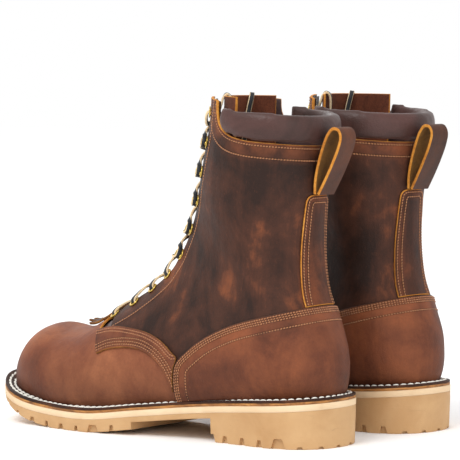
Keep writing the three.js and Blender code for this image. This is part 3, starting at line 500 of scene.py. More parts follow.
# ---- Sheets of leather on the last --------------------------------------------------------------------
class Net:
    """A patch of the last's surface: points (v, turn), with turn measured from the back (u) or from the
    front, and the polygons between them."""

    def __init__(self, rows, turns, front):
        self.front = front
        v, t = np.meshgrid(rows, turns, indexing="ij")
        self.v, self.t = v.ravel(), t.ravel()
        n = len(turns)
        i, j = np.meshgrid(np.arange(len(rows) - 1), np.arange(n - 1), indexing="ij")
        a = (i * n + j).ravel()
        quads = np.stack([a, a + n, a + n + 1, a + 1], 1)
        self.quads = quads[:, ::-1] if front else quads
        self.others = []
        self.last_cut = set()

    def u(self, t=None):
        t = self.t if t is None else t
        return np.where(t >= 0, PI - t, -PI - t) if self.front else t

    def at(self, v, t, depth):
        u = self.u(t)
        return off_last(v, u, np.full(len(v), float(depth))), u

    def cut(self, field, depth=0.0):
        """Keeps what lies where field is positive, with the edge run exactly along its zero."""
        def value(v, t):
            P, u = self.at(v, t, depth)
            return field(P, v, u)

        f = value(self.v, self.t)
        keep = f >= 0
        count = keep[self.quads].sum(1)
        mixed = [tuple(q) for q in self.quads[(count > 0) & (count < 4)]]
        self.quads = self.quads[count == 4]
        others = []
        for poly in self.others:
            k = [keep[i] for i in poly]
            if all(k):
                others.append(poly)
            elif any(k):
                mixed.append(poly)
        edges = {}
        for poly in mixed:
            for a, b in zip(poly, poly[1:] + poly[:1]):
                if keep[a] != keep[b]:
                    edges.setdefault((min(a, b), max(a, b)), len(edges))
        if edges:
            pairs = np.array(list(edges))
            swap = ~keep[pairs[:, 0]]
            pairs[swap] = pairs[swap][:, ::-1]
            low, high = np.zeros(len(pairs)), np.ones(len(pairs))
            va, vb = self.v[pairs[:, 0]], self.v[pairs[:, 1]]
            ta, tb = self.t[pairs[:, 0]], self.t[pairs[:, 1]]
            for _ in range(10):
                s = (low + high) / 2
                good = value(va + (vb - va) * s, ta + (tb - ta) * s) >= 0
                low, high = np.where(good, s, low), np.where(good, high, s)
            base = len(self.v)
            self.v = np.r_[self.v, va + (vb - va) * low]
            self.t = np.r_[self.t, ta + (tb - ta) * low]
            self.last_cut = set(range(base, len(self.v)))
            for poly in mixed:
                made = []
                for a, b in zip(poly, poly[1:] + poly[:1]):
                    if keep[a]:
                        made.append(a)
                    if keep[a] != keep[b]:
                        made.append(base + edges[(min(a, b), max(a, b))])
                if len(made) > 2:
                    others.append(tuple(made))
        else:
            self.last_cut = set()
        self.others = others
        return self

    def polygons(self):
        return [tuple(q) for q in self.quads.tolist()] + [tuple(int(i) for i in p) for p in self.others]

    def boundary(self, polys):
        seen = {}
        for p in polys:
            for a, b in zip(p, p[1:] + p[:1]):
                if (b, a) in seen:
                    del seen[(b, a)]
                else:
                    seen[(a, b)] = True
        return list(seen)

    def chains(self):
        """The lines along the last cut, each a list of (v, u)."""
        edges = [(a, b) for a, b in self.boundary(self.polygons())
                 if a in self.last_cut and b in self.last_cut]
        after = dict(edges)
        starts = [a for a in after if a not in set(after.values())] or list(after)[:1]
        lines = []
        for start in starts:
            line = [start]
            while line[-1] in after and len(line) < 5000:
                line.append(after.pop(line[-1]))
            if len(line) > 2:
                lines.append((self.v[line], self.u(self.t[line])))
        return lines


def weld(points, polys, boundary_points, near):
    """Joins points closer than near along an edge, so that no sliver is left."""
    parent = np.arange(len(points))

    def root(i):
        while parent[i] != i:
            parent[i] = parent[parent[i]]
            i = parent[i]
        return i

    for p in polys:
        for a, b in zip(p, p[1:] + p[:1]):
            if a in boundary_points or b in boundary_points:
                ra, rb = root(a), root(b)
                if ra != rb and np.linalg.norm(points[ra] - points[rb]) < near:
                    if rb in boundary_points:
                        ra, rb = rb, ra
                    parent[rb] = ra
    made = []
    for p in polys:
        q = []
        for i in (root(j) for j in p):
            if not q or (i != q[-1]):
                q.append(i)
        if len(q) > 1 and q[0] == q[-1]:
            q.pop()
        if len(q) > 2 and len(set(q)) == len(q):
            made.append(tuple(q))
    return made


def ripple(P, size, seed=0.0):
    """Soft dents in leather, from -1 to 1, about size millimetres across."""
    out = np.empty(len(P))
    for i, p in enumerate(P / size):
        out[i] = noise.noise((p[0] + seed, p[1] - seed, p[2] + 2 * seed))
    return out


def leather(net, low, high, rim=0.45, seam=None, dents=0.18, skive=0.0, seed=0.0):
    """Gives a net its thickness between two depths of the last, with a rounded raw edge all round.
    seam is the field kept on the points for the material; skive thins the leather towards its edge."""
    polys = net.polygons()
    flat, u = net.at(net.v, net.t, (low + high) / 2)
    rim_points = {i for e in net.boundary(polys) for i in e}
    polys = weld(flat, polys, rim_points, 0.3)
    used = sorted({i for p in polys for i in p})
    index = {old: new for new, old in enumerate(used)}
    polys = [tuple(index[i] for i in p) for p in polys]
    v, u = net.v[used], net.u(net.t[used])
    N = last_normal(v, u)
    base = last_point(v, u)
    n = len(used)
    edges = net.boundary(polys)
    inward = np.zeros((n, 3))
    for a, b in edges:
        along = base[b] - base[a]
        into = np.cross(N[a], along)
        length = np.linalg.norm(into)
        if length > 1e-9:
            inward[a] += into / length
            inward[b] += into / length
    size = np.linalg.norm(inward, axis=1, keepdims=True)
    inward = inward / np.maximum(size, 1e-9)
    rims = sorted({i for e in edges for i in e})
    distance = seam(base + N * high, v, u) if seam is not None else np.full(n, 50.0)
    top = np.full(n, float(high))
    if dents:
        top = top + dents * ripple(base, 17, seed) + 0.4 * dents * ripple(base, 6, seed + 9)
    if skive:
        top = top - skive * np.exp(-np.maximum(distance, 0) / 2.2)
    outer = base + N * top[:, None]
    inner = base + N * low
    outer[rims] += inward[rims] * rim
    inner[rims] += inward[rims] * rim * 0.6
    ring1 = base[rims] + N[rims] * (top[rims] - rim)[:, None]
    ring2 = base[rims] + N[rims] * (low + rim * 0.6)
    points = np.vstack([outer, inner, ring1, ring2])
    where = {i: k for k, i in enumerate(rims)}
    r1, r2 = 2 * n, 2 * n + len(rims)
    faces = list(polys) + [tuple(n + i for i in reversed(p)) for p in polys]
    kinds = [0] * len(polys) + [1] * len(polys)
    for a, b in edges:
        ka, kb = where[a], where[b]
        faces += [(b, a, r1 + ka, r1 + kb), (r1 + kb, r1 + ka, r2 + ka, r2 + kb),
                  (r2 + kb, r2 + ka, n + a, n + b)]
        kinds += [2, 2, 2]
    marks = np.concatenate([distance, distance, distance[rims], distance[rims]])
    return {"points": points, "faces": faces, "kinds": kinds, "seam": marks}


# ---- Putting pieces into the scene ----------------------------------------------------------------------
PIECES = {}


def emit(name, shape, materials, body="boot", replaces=(), slot=None, sharp=50, boots=("left", "right")):
    """Adds a boot's piece to both boots."""
    for boot in boots:
        points = place(shape["points"], boot)
        faces = shape["faces"]
        if boot == "right":
            faces = [tuple(reversed(f)) for f in faces]
        mesh = bpy.data.meshes.new(f"{boot}_{name}")
        mesh.from_pydata(points.tolist(), [], faces)
        for m in materials:
            mesh.materials.append(MATERIAL[m])
        if "kinds" in shape:
            mesh.polygons.foreach_set("material_index", shape["kinds"])
        if "seam" in shape:
            layer = mesh.attributes.new("seam", "FLOAT", "POINT")
            layer.data.foreach_set("value", np.asarray(shape["seam"], np.float32))
        mesh.polygons.foreach_set("use_smooth", [True] * len(mesh.polygons))
        mesh.set_sharp_from_angle(angle=math.radians(sharp))
        mesh.validate()
        piece = bpy.data.objects.new(f"{boot}_{name}", mesh)
        bpy.context.scene.collection.objects.link(piece)
        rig.ride(piece, f"{boot}_{body}")
        if replaces:
            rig.replaces(piece, *[f"{boot}_{node}" for node in replaces])
        if slot:
            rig.slot(piece, slot)
        PIECES[f"{boot}_{name}"] = piece


def join(shapes):
    """Several shapes as one."""
    points, faces, kinds, seams = [], [], [], []
    base = 0
    for s in shapes:
        points.append(np.asarray(s["points"], float))
        faces += [tuple(base + i for i in f) for f in s["faces"]]
        kinds += s.get("kinds", [0] * len(s["faces"]))
        seams.append(np.asarray(s.get("seam", np.full(len(s["points"]), 50.0))))
        base += len(s["points"])
    return {"points": np.vstack(points), "faces": faces, "kinds": kinds, "seam": np.concatenate(seams)}


# ---- Lines of the pattern, seen from the side in reference sizes ------------------------------------------
WING_LOWER = smooth([(-40, 60.5), (-30, 64.5), (-13, 66.6), (1, 65.5), (14, 60), (23, 52), (28.5, 42),
                     (30, 30)], 4)
WING_UPPER = smooth([(-50, 77), (-33, 80.5), (-10, 80), (6, 77.5), (19, 72.5), (31, 64)], 4)
VAMP_SEAM = smooth([(-42, 66.4), (-27, 73), (-12, 73.5), (5, 70.5), (20, 63.5), (29, 53), (33, 40)], 3)
COUNTER_TOP = smooth([(31, 26), (31.5, 44), (33.5, 57), (42.5, 66.5), (58, 77.5), (77, 86), (91, 90.5),
                      (116, 97), (160, 109)], 4)
TOP_FRONT = [(20, 252), (38, 252), (67, 248.5)]
COLLAR_LINE = smooth([(67, 248.5), (67.5, 239), (71, 231), (79, 224.8), (93, 220.8), (116, 218.3),
                      (150, 215)], 4)
THROAT_FRONT = [(-62, 200), (-61, 96), (-56, 84), (-47, 72), (-42, 66.5)]
VAMP_REGION = [(-200, -50), (-200, 200)] + THROAT_FRONT + VAMP_SEAM + [(33, -50)]
UPPER_TOP = TOP_FRONT + COLLAR_LINE + [(200, 211), (200, 400), (-100, 400), (-100, 252)]
COUNTER_REGION = COUNTER_TOP + [(400, 109), (400, -50), (31, -50)]
WING_REGION = WING_UPPER + [(34, 62), (31, 26)] + WING_LOWER[::-1]
BEHIND_FACING = [(-200, -50), (-200, 200), (-53, 200), (-53, 74), (-10, 80), (60, 140), (120, 140),
                 (120, -50)]
BEHIND_TONGUE = [(-200, -50), (-200, 200), (-50, 200), (-50, 76), (-14, 84), (8, 100), (60, 150), (120, 150),
                 (120, -50)]
LACE_ROW = [(-43.5, 85.5), (-25.5, 95.5), (-10.5, 106.5), (3.5, 118), (15.5, 134), (25, 153), (34, 174.5),
            (42, 196), (48.5, 217.5), (53, 239.5)]
LACE_ROWS = [locate(y, z) for y, z in LACE_ROW]
PAIRS = len(LACE_ROW)
LOWER_EYELETS = 4
EYELET_HOLE, EYELET_RADIUS, HOOK_STEM = 2.6, 4.2, 1.7


def is_hook(i):
    return LOWER_EYELETS <= i < PAIRS - 1


def hole_frame(i, side):
    """On the last at lace hole i: its place, and the directions away from the middle, up the row and out."""
    v, u = LACE_ROWS[i]
    at = last_point(v, side * u)
    out = last_normal(v, side * u)
    step = last_point(v, side * (u - 0.05)) - at
    away = step - out * (step @ out)
    away = away / np.linalg.norm(away)
    return at, away, np.cross(out, away) * side, out


def off_holes(side, radius):
    """Positive outside the eyelets' holes of one side."""
    frames = [hole_frame(i, side) for i in range(PAIRS) if not is_hook(i)]

    def f(P, *_):
        best = np.full(len(P), 1e9)
        for at, _, _, out in frames:
            d = P - at
            d = d - np.outer(d @ out, out)
            best = np.minimum(best, np.linalg.norm(d, axis=1))
        return best - radius

    return f


def near_spread(start, stop, per_unit=13):
    return np.linspace(start, stop, int((stop - start) * per_unit) + 1)


def turns(start, stop, count):
    return np.linspace(start, stop, count)


def vamp():
    net = Net(near_spread(-1, 11, 12), turns(-PI + 1e-4, PI - 1e-4, 190), True)
    net.cut(over_floor, 1).cut(inside(VAMP_REGION), 1)
    return leather(net, 0, UPPER_LEATHER, seed=3, dents=0.22, seam=line_distance(VAMP_SEAM))


def quarter(side):
    span = turns(1e-3, PI - 1e-3, 100) if side > 0 else turns(-PI + 1e-3, -1e-3, 100)
    net = Net(near_spread(7.5, 18.95), span, False)
    for f in (over_floor, inside(VAMP_REGION, GAP, -1), inside(UPPER_TOP, 0, -1), beyond_throat(),
              off_holes(side, 3.1)):
        net.cut(f, UPPER_LEATHER)
    return leather(net, 0, UPPER_LEATHER, rim=0.4, dents=0.3, seam=line_distance(COLLAR_LINE + [(200, 211)]),
                   seed=5 + side)


def wing_net(side):
    span = turns(1.1, PI - 1e-3, 110) if side > 0 else turns(-PI + 1e-3, -1.1, 110)
    net = Net(near_spread(6, 12, 26), span, False)
    for f in (over_floor, inside(WING_REGION), inside(COUNTER_REGION, GAP, -1), beyond_throat(0.6)):
        net.cut(f, OVERLAY_HIGH)
    return net


def wing(side):
    return leather(wing_net(side), OVERLAY_LOW, OVERLAY_HIGH, rim=0.3, dents=0.1,
                   seam=line_distance(WING_LOWER), seed=11 + side)


def counter_net():
    net = Net(near_spread(8, 15.5, 18), turns(-2.75, 2.75, 210), False)
    return net.cut(over_floor, OVERLAY_HIGH).cut(inside(COUNTER_REGION), OVERLAY_HIGH)


def counter():
    return leather(counter_net(), OVERLAY_LOW, OVERLAY_HIGH, rim=0.45, dents=0.35, skive=0.5,
                   seam=line_distance(COUNTER_TOP), seed=21)


def stay_edge(P, *_):
    """How far a point is inside the backstay's sides and its rounded top."""
    bottom, top = BACKSTAY_WIDTH
    share = (P[:, 2] - Z(90)) / (Z(STAY_TOP) - Z(90))
    a = (bottom + (top - bottom) * share) / 2 - np.abs(P[:, 0])
    b = Z(STAY_TOP) - P[:, 2]
    corner = 5.0
    rounded = corner - np.hypot(np.maximum(corner - a, 0), np.maximum(corner - b, 0))
    return np.where((a < corner) & (b < corner), rounded, np.minimum(a, b))


def stay_net():
    net = Net(near_spread(12.5, 16.8, 24), turns(-1.1, 1.1, 80), False)
    return net.cut(stay_edge, OVERLAY_HIGH).cut(inside(COUNTER_REGION, GAP, -1), OVERLAY_HIGH)


def backstay():
    return leather(stay_net(), OVERLAY_LOW, OVERLAY_HIGH, rim=0.4, dents=0.12, skive=0.35, seam=stay_edge,
                   seed=31)


def facing(side):
    span = turns(1.4, PI - 1e-3, 80) if side > 0 else turns(-PI + 1e-3, -1.4, 80)
    net = Net(near_spread(6, 18.95), span, False)
    outer = FACING_WIDTH
    for f in (beyond_throat(), lambda P, *_: ramp(THROAT_GAP, P[:, 2]) + outer - np.abs(P[:, 0]),
              inside(BEHIND_FACING, 0, -1), inside([(y, z - 1) for y, z in UPPER_TOP], 0, -1),
              off_holes(side, 3.1)):
        net.cut(f, FACING_LOW)
    return leather(net, FACING_LOW, FACING_HIGH, rim=0.3, dents=0.08, seed=41)


def tongue():
    net = Net(near_spread(6, 18.95), turns(-1.5, 1.5, 96), True)
    half = 30
    for f in (lambda P, *_: half - np.abs(P[:, 0]), inside(BEHIND_TONGUE, 0, -1),
              inside([(-100, 254), (200, 249), (200, 500), (-100, 500)], 0, -1)):
        net.cut(f, TONGUE_LOW)
    return leather(net, TONGUE_LOW, TONGUE_HIGH, rim=0.4, dents=0.9, seed=51)


KILTIE = {"teeth": 5, "half": 18.0, "root": -46.0, "neck": THROAT_GAP[0] - 1.5, "lift": 4.0}


def kiltie():
    half, neck, teeth = KILTIE["half"], KILTIE["neck"], KILTIE["teeth"]

    def tip(x):
        return -82 + 12 * (x / half) ** 2

    outline = [(-neck, KILTIE["root"]), (-neck, -60), (-half, -60)]
    for i in range(teeth):
        left = -half + 2 * half * i / teeth
        outline.append((left + half / teeth, tip(left + half / teeth)))
        if i < teeth - 1:
            right = left + 2 * half / teeth
            outline.append((right, tip(right) + 11))
    outline += [(half, -60), (neck, -60), (neck, KILTIE["root"])]
    a = np.array([(x, Y(y)) for x, y in outline])
    b = np.roll(a, -1, 0)

    def f(P, *_):
        q = P[:, :2]
        best, within = np.full(len(q), 1e18), np.zeros(len(q), bool)
        for s, e in zip(a, b):
            d = e - s
            t = np.clip(((q - s) @ d) / (d @ d), 0, 1)
            best = np.minimum(best, ((q - s - t[:, None] * d) ** 2).sum(1))
            if s[1] != e[1]:
                crossed = (s[1] > q[:, 1]) != (e[1] > q[:, 1])
                within ^= crossed & (q[:, 0] < d[0] * (q[:, 1] - s[1]) / d[1] + s[0])
        return np.where(within, 1, -1) * np.sqrt(best)

    net = Net(near_spread(2, 8, 34), turns(-1.0, 1.0, 110), True)
    net.cut(f, OVERLAY_HIGH).cut(lambda P, *_: P[:, 2] - Z(60), OVERLAY_HIGH)
    made = leather(net, OVERLAY_LOW, OVERLAY_HIGH, rim=0.3, dents=0.1, seed=61)
    rise = np.clip((Y(-58) - made["points"][:, 1]) / 20, 0, 1)
    made["points"][:, 2] += KILTIE["lift"] * rise ** 1.6
    return made


# ---- Sole ---------------------------------------------------------------------------------------------
sole_lateral = curve([(-102, 48), (-42, 54), (0, 46.5), (35, 40), (70, 39), (112, 41.5)])
sole_medial = curve([(-102, 48.5), (-62, 52), (-15, 43.5), (25, 36.5), (65, 37), (112, 40.5)])
toe_lift = curve([(-154, 8), (-132, 5), (-105, 1.2), (-85, 0)])
TOE_ROUND, HEEL_ROUND = 52, 43
TREAD_END, HEEL_BREAST = Y(-5), Y(63)


def sole_edge(y, side, inset=0.0):
    """How far the sole's edge is from the middle line at y, less an inset all round."""
    y = np.asarray(y, float)
    half = SOLE_LENGTH / 2
    table = sole_lateral if side > 0 else sole_medial
    width = table(refY(y)) * BALL_WIDTH / REF["ball"] - inset
    toe, heel = Y(TOE_ROUND) - inset, Y(HEEL_ROUND) - inset
    toe_end, heel_end = -half + inset, half - inset
    share = np.where(y < toe_end + toe, (toe_end + toe - y) / toe,
                     np.where(y > heel_end - heel, (y - heel_end + heel) / heel, 0))
    share = np.clip(share, 0, 1)
    return width * np.maximum(1 - share ** 2.25, 0) ** (1 / 2.25)


def below(depth, lift=0.0):
    return lambda y: welt_top(y) - depth + lift * toe_lift(refY(y))


BASE_BOTTOM = below(FOREFOOT - LUG_DEPTH, 0.35)


def lug_bottom(y):
    return np.maximum(below(FOREFOOT, 1)(y), 0)


def sole_slab(levels, start=None, stop=None, steps=110, wobble=0.0):
    """A closed layer of the sole: levels are (inset, height function) from its bottom to its top."""
    rings = []
    for k, (inset, height) in enumerate(levels):
        half = SOLE_LENGTH / 2 - inset
        low = -half if start is None else start
        high = half if stop is None else stop
        at_low, at_high = (0 if start is None else 0.5), (1 if stop is None else 0.5)
        s = np.arange(steps + 1) / steps
        s = (1 - np.cos(PI * (at_low + (at_high - at_low) * s))) / 2
        s = (s - s[0]) / (s[-1] - s[0])
        y = low + (high - low) * s
        rough = np.array([noise.noise((yy * 0.11, 3.1 + k, 0)) for yy in y]) * wobble
        right = np.stack([sole_edge(y, 1, inset) + rough * (sole_edge(y, 1, inset) > 8), y, height(y)], 1)
        left = np.stack([-sole_edge(y, -1, inset) - rough * (sole_edge(y, -1, inset) > 8), y, height(y)], 1)
        rings.append(np.vstack([right, left[::-1]]))
    n = len(rings[0])
    faces = []
    for r in range(len(rings) - 1):
        for k in range(n):
            j = (k + 1) % n
            faces.append((r * n + k, r * n + j, (r + 1) * n + j, (r + 1) * n + k))
    top = (len(rings) - 1) * n
    for k in range(steps):
        a, b, c, d = k, k + 1, n - 2 - k, n - 1 - k
        faces.append((d, c, b, a))
        faces.append((top + a, top + b, top + c, top + d))
    points = np.vstack(rings)
    return tidy({"points": points, "faces": faces})


def tidy(shape, near=1e-3):
    """Joins the points that lie on each other and drops faces that closed up."""
    work = bmesh.new()
    verts = [work.verts.new(p) for p in np.asarray(shape["points"], float)]
    for f in shape["faces"]:
        try:
            work.faces.new([verts[i] for i in f])
        except ValueError:
            pass
    bmesh.ops.remove_doubles(work, verts=work.verts, dist=near)
    bmesh.ops.dissolve_degenerate(work, edges=work.edges, dist=near)
    loose = [v for v in work.verts if not v.link_faces]
    bmesh.ops.delete(work, geom=loose, context="VERTS")
    bmesh.ops.recalc_face_normals(work, faces=work.faces)
    work.verts.index_update()
    points = np.array([v.co for v in work.verts])
    faces = [tuple(v.index for v in f.verts) for f in work.faces]
    work.free()
    return {"points": points, "faces": faces}


def scratch(shape, name="scratch"):
    mesh = bpy.data.meshes.new(name)
    mesh.from_pydata(np.asarray(shape["points"], float).tolist(), [], shape["faces"])
    obj = bpy.data.objects.new(name, mesh)
    bpy.context.scene.collection.objects.link(obj)
    return obj


def solid(shape, other, operation):
    """shape with other joined or cut away."""
    a, b = scratch(shape), scratch(other)
    made = a.modifiers.new("cut", "BOOLEAN")
    made.operation, made.object, made.solver = operation, b, "MANIFOLD"
    bpy.context.view_layer.update()
    mesh = bpy.data.meshes.new_from_object(a.evaluated_get(bpy.context.evaluated_depsgraph_get()))
    points = np.zeros(len(mesh.vertices) * 3)
    mesh.vertices.foreach_get("co", points)
    out = {"points": points.reshape(-1, 3), "faces": [tuple(p.vertices) for p in mesh.polygons]}
    for o in (a, b):
        data = o.data
        bpy.data.objects.remove(o)
        bpy.data.meshes.remove(data)
    bpy.data.meshes.remove(mesh)
    return out


def edge_walk(start, end, spacing, first):
    """Places and outward directions at even distances round one end of the sole."""
    tip = end * SOLE_LENGTH / 2
    s = np.arange(161) / 160
    y = start + (tip - start) * np.sin(s * PI / 2)
    line = np.vstack([np.stack([sole_edge(y, 1), y], 1), np.stack([-sole_edge(y, -1), y], 1)[::-1]])
    places = resample(line, spacing, first)
    ats = at_places(line, places)
    ahead = at_places(line, np.minimum(places + 0.5, len(line) - 1.001))
    step = ahead - ats
    out = np.stack([step[:, 1], -step[:, 0]], 1) * -end
    return ats, out / np.linalg.norm(out, axis=1, keepdims=True)


def prism(corners, at, across, up, along, depth):
    """A prism of the corners (across, up), from `at` minus depth[0] to plus depth[1] along a direction."""
    points = []
    for far in depth:
        points += [at + across * a + up * b + along * far for a, b in corners]
    n = len(corners)
    faces = [tuple(reversed(range(n))), tuple(range(n, 2 * n))]
    faces += [(k, (k + 1) % n, n + (k + 1) % n, n + k) for k in range(n)]
    return tidy({"points": np.array(points), "faces": faces})


def notch(at, out, width, depth, floor, roof):
    out = np.array([out[0], out[1], 0.0])
    up = np.array([0, 0, 1.0])
    corners = [(-width * 0.68, floor), (width * 0.68, floor), (width * 0.36, roof - 0.4),
               (width * 0.28, roof), (-width * 0.28, roof), (-width * 0.36, roof - 0.4)]
    return prism(corners, np.array([at[0], at[1], 0.0]), np.cross(up, out), up, out, (-depth, 3))


def outsole():
    base = sole_slab([(0.5, BASE_BOTTOM), (0.1, below(FOREFOOT - LUG_DEPTH - 0.5, 0.35)),
                      (0, below(WELT + LEATHER_MIDSOLE + RUBBER_MIDSOLE + 1)),
                      (0.0, below(WELT + LEATHER_MIDSOLE + RUBBER_MIDSOLE + 0.02))])
    tread = sole_slab([(0.9, lug_bottom), (0.3, lambda y: lug_bottom(y) + 0.6),
                       (0.02, lambda y: BASE_BOTTOM(y) + 0.8), (0.02, lambda y: BASE_BOTTOM(y) + 1.4)],
                      stop=TREAD_END)
    heel = sole_slab([(1.2, lambda y: 0 * y), (0.7, lambda y: 0 * y + 0.5),
                      (0.02, lambda y: BASE_BOTTOM(y) - 1), (0.02, lambda y: BASE_BOTTOM(y) + 1.4)],
                     start=HEEL_BREAST)
    for k, (at, out) in enumerate(zip(*edge_walk(TREAD_END, -1, NOTCH["pitch"], NOTCH["pitch"]))):
        wide = k % WIDE_NOTCH_EVERY == 1
        roof = BASE_BOTTOM(at[1]) - (-0.5 if wide else 0.8)
        width = NOTCH["wide"] if wide else NOTCH["narrow"] * (0.8 + 0.35 * (k % 2))
        tread = solid(tread, notch(at, out, width, NOTCH["depth"], lug_bottom(at[1]) - 2, roof), "DIFFERENCE")
    for k, (at, out) in enumerate(zip(*edge_walk(HEEL_BREAST, 1, NOTCH["pitch"], NOTCH["pitch"] * 0.8))):
        wide = k % WIDE_NOTCH_EVERY == 3
        after = 3 < k < 9
        roof = LUG_DEPTH + (2 if wide else (-3.4 if after else 0))
        width = NOTCH["wide"] if wide else NOTCH["narrow"]
        heel = solid(heel, notch(at, out, width, NOTCH["depth"], -1, roof), "DIFFERENCE")
    step = prism([(-1, -1), (4.5, -1), (2.5, LUG_DEPTH + 0.6), (-1, LUG_DEPTH + 0.6)],
                 np.array([-60.0, HEEL_BREAST, 0]), np.array([0, 1.0, 0]), np.array([0, 0, 1.0]),
                 np.array([1.0, 0, 0]), (0, 120))
    heel = solid(heel, step, "DIFFERENCE")
    return solid(solid(base, tread, "UNION"), heel, "UNION")


def rubber_midsole():
    low, high = WELT + LEATHER_MIDSOLE + RUBBER_MIDSOLE, WELT + LEATHER_MIDSOLE
    return sole_slab([(0.25, below(low)), (-0.1, below(low - 0.3)), (-0.15, below(high + 0.4)),
                      (0.2, below(high + 0.05))], wobble=0.06)


def leather_midsole():
    low, high = WELT + LEATHER_MIDSOLE, WELT
    return sole_slab([(0.5, below(low)), (0.15, below(low - 0.4)), (0.1, below(high + 0.4)),
                      (0.35, below(high + 0.05))], wobble=0.25)


WELT_ROWS = (3.6, 7.2)  # in from the sole's edge
WELT_PITCH = 5.6
WELT_SHELF = 13  # how far in the welt reaches under the upper


def welt():
    """The welt: a flat strap with a rolled edge and a pressed channel under its stitches."""
    groove = 0.35
    levels = [(0.6, below(WELT)), (0.15, below(WELT - 0.45)), (0.15, below(0.5)), (0.6, below(0.08)),
              (1.4, below(0))]
    for row in WELT_ROWS:
        levels += [(row - 1, below(0)), (row - 0.4, below(groove))]
        levels += [(row + 0.4, below(groove)), (row + 1, below(0))]
    levels += [(WELT_SHELF, below(-0.2)), (WELT_SHELF, below(WELT))]
    return sole_ring(levels)



def sole_ring(levels, steps=110):
    """A ring round the sole with the section that the levels (inset, height) draw, closed on itself."""
    rings = []
    for inset, height in levels:
        half = SOLE_LENGTH / 2 - inset
        s = (1 - np.cos(PI * np.arange(steps + 1) / steps)) / 2
        y = -half + 2 * half * s
        right = np.stack([sole_edge(y, 1, inset), y, height(y)], 1)
        left = np.stack([-sole_edge(y, -1, inset), y, height(y)], 1)
        rings.append(np.vstack([right, left[-2:0:-1]]))
    n, m = len(rings[0]), len(rings)
    faces = [(r * n + k, r * n + (k + 1) % n, ((r + 1) % m) * n + (k + 1) % n, ((r + 1) % m) * n + k)
             for r in range(m) for k in range(n)]
    return {"points": np.vstack(rings), "faces": faces}


# ---- Stitches -------------------------------------------------------------------------------------------
def stitches(rows, length, width, height, slant=0.0, sink=0.5):
    """One shape of small thread humps; rows hold (place, along, out) arrays."""
    stations = np.array([-0.5, -0.42, -0.22, 0, 0.22, 0.42, 0.5])
    swell = np.array([0.25, 0.62, 0.95, 1, 0.95, 0.62, 0.25])
    drop = np.array([-sink, -0.25 * sink, 0, 0.05, 0, -0.25 * sink, -sink]) * height
    sides = 6
    angles = 2 * PI * np.arange(sides) / sides
    ring = np.stack([np.cos(angles) * width / 2, np.sin(angles) * height / 2], 1)
    points, faces, base = [], [], 0
    for at, along, out in rows:
        across = np.cross(out, along)
        for p, t, n, w in zip(at, along, out, across):
            t2 = t * math.cos(slant) + w * math.sin(slant)
            w2 = np.cross(n, t2)
            for s, k, d in zip(stations, swell, drop):
                c = p + t2 * (s * length) + n * d
                points += [c + w2 * (a * k) + n * (b * k) for a, b in ring]
            for r in range(len(stations) - 1):
                for j in range(sides):
                    q = (j + 1) % sides
                    a, b = base + r * sides, base + (r + 1) * sides
                    faces.append((a + j, b + j, b + q, a + q))
            end = base + (len(stations) - 1) * sides
            faces.append(tuple(range(base, base + sides)))
            faces.append(tuple(reversed(range(end, end + sides))))
            base += len(stations) * sides
    return {"points": np.array(points), "faces": faces}


def stitch_places(v, u, depth, pitch):
    """Even stitches along a line on the last: places, directions and the way out."""
    line = off_last(v, u, np.full(len(v), depth))
    # A light smoothing, because the line crosses the net's small faces.
    for _ in range(2):
        line[1:-1] = (line[:-2] + 2 * line[1:-1] + line[2:]) / 4
    places = resample(line, pitch, pitch * 0.6)
    if len(places) < 2:
        return None
    at = at_places(line, places)
    along = np.gradient(at, axis=0)
    along /= np.linalg.norm(along, axis=1, keepdims=True)
    out = last_normal(at_places(v, places), at_places(u, places))
    out -= along * (out * along).sum(1, keepdims=True)
    return at, along, out / np.linalg.norm(out, axis=1, keepdims=True)


def rows_along(net_of, edge, levels, depth, fields=()):
    """Stitch rows at set distances inside an edge."""
    rows = []
    for level in levels:
        net = net_of()
        for f in fields:
            net.cut(f, depth)
        net.cut(lambda P, v, u: edge(P, v, u) - level, depth)
        for v, u in net.chains():
            row = stitch_places(v, u, depth, STITCH_PITCH)
            if row:
                rows.append(row)
    return rows


FACING_ROW = 8.5  # from the lace holes back to the facing's stitches


def off_laces():
    """How far a point is from the row of lace holes, seen from the side."""
    past = [(2 * LACE_ROW[0][0] - LACE_ROW[1][0], 2 * LACE_ROW[0][1] - LACE_ROW[1][1])]
    return line_distance(past + LACE_ROW + [(56, 262)])


def front_half(P, v, u):
    """Positive in front of a boot's middle; 30 turns the angle into about a millimetre scale."""
    return (np.abs(u) - 1.7) * 30


def upper_stitches():
    """All rows of tan thread on one boot's upper."""
    rows = []
    top = OVERLAY_HIGH + 0.1
    for side in (1, -1):
        for edge, name in ((WING_LOWER, "wing"), (WING_UPPER, "wing_top")):
            rows += rows_along(lambda s=side: wing_net(s), line_distance(edge), STITCH_ROWS[name], top)

        def quarter_net(s=side):
            span = turns(0.05, PI - 1e-3, 80) if s > 0 else turns(-PI + 1e-3, -0.05, 80)
            net = Net(near_spread(7.5, 18.95, 9), span, False)
            for f in (over_floor, inside(VAMP_REGION, GAP, -1), inside(UPPER_TOP, 0, -1), beyond_throat(1),
                      inside(WING_REGION, 0, -1), inside(COUNTER_REGION, GAP, -1)):
                net.cut(f, UPPER_LEATHER)
            return net

        below_collar = COLLAR_LINE[2:] + [(200, 211)]
        depth = UPPER_LEATHER + 0.1
        rows += rows_along(quarter_net, line_distance(below_collar), STITCH_ROWS["quarter"], depth)
        rows += rows_along(quarter_net, off_laces(), (FACING_ROW,), depth, fields=(front_half,))
    rows += rows_along(counter_net, line_distance(COUNTER_TOP), STITCH_ROWS["counter"], top - 0.1)
    rows += rows_along(stay_net, stay_edge, STITCH_ROWS["stay"], top)
    return stitches(rows, 1.85, 1.0, 0.8, slant=0.2)


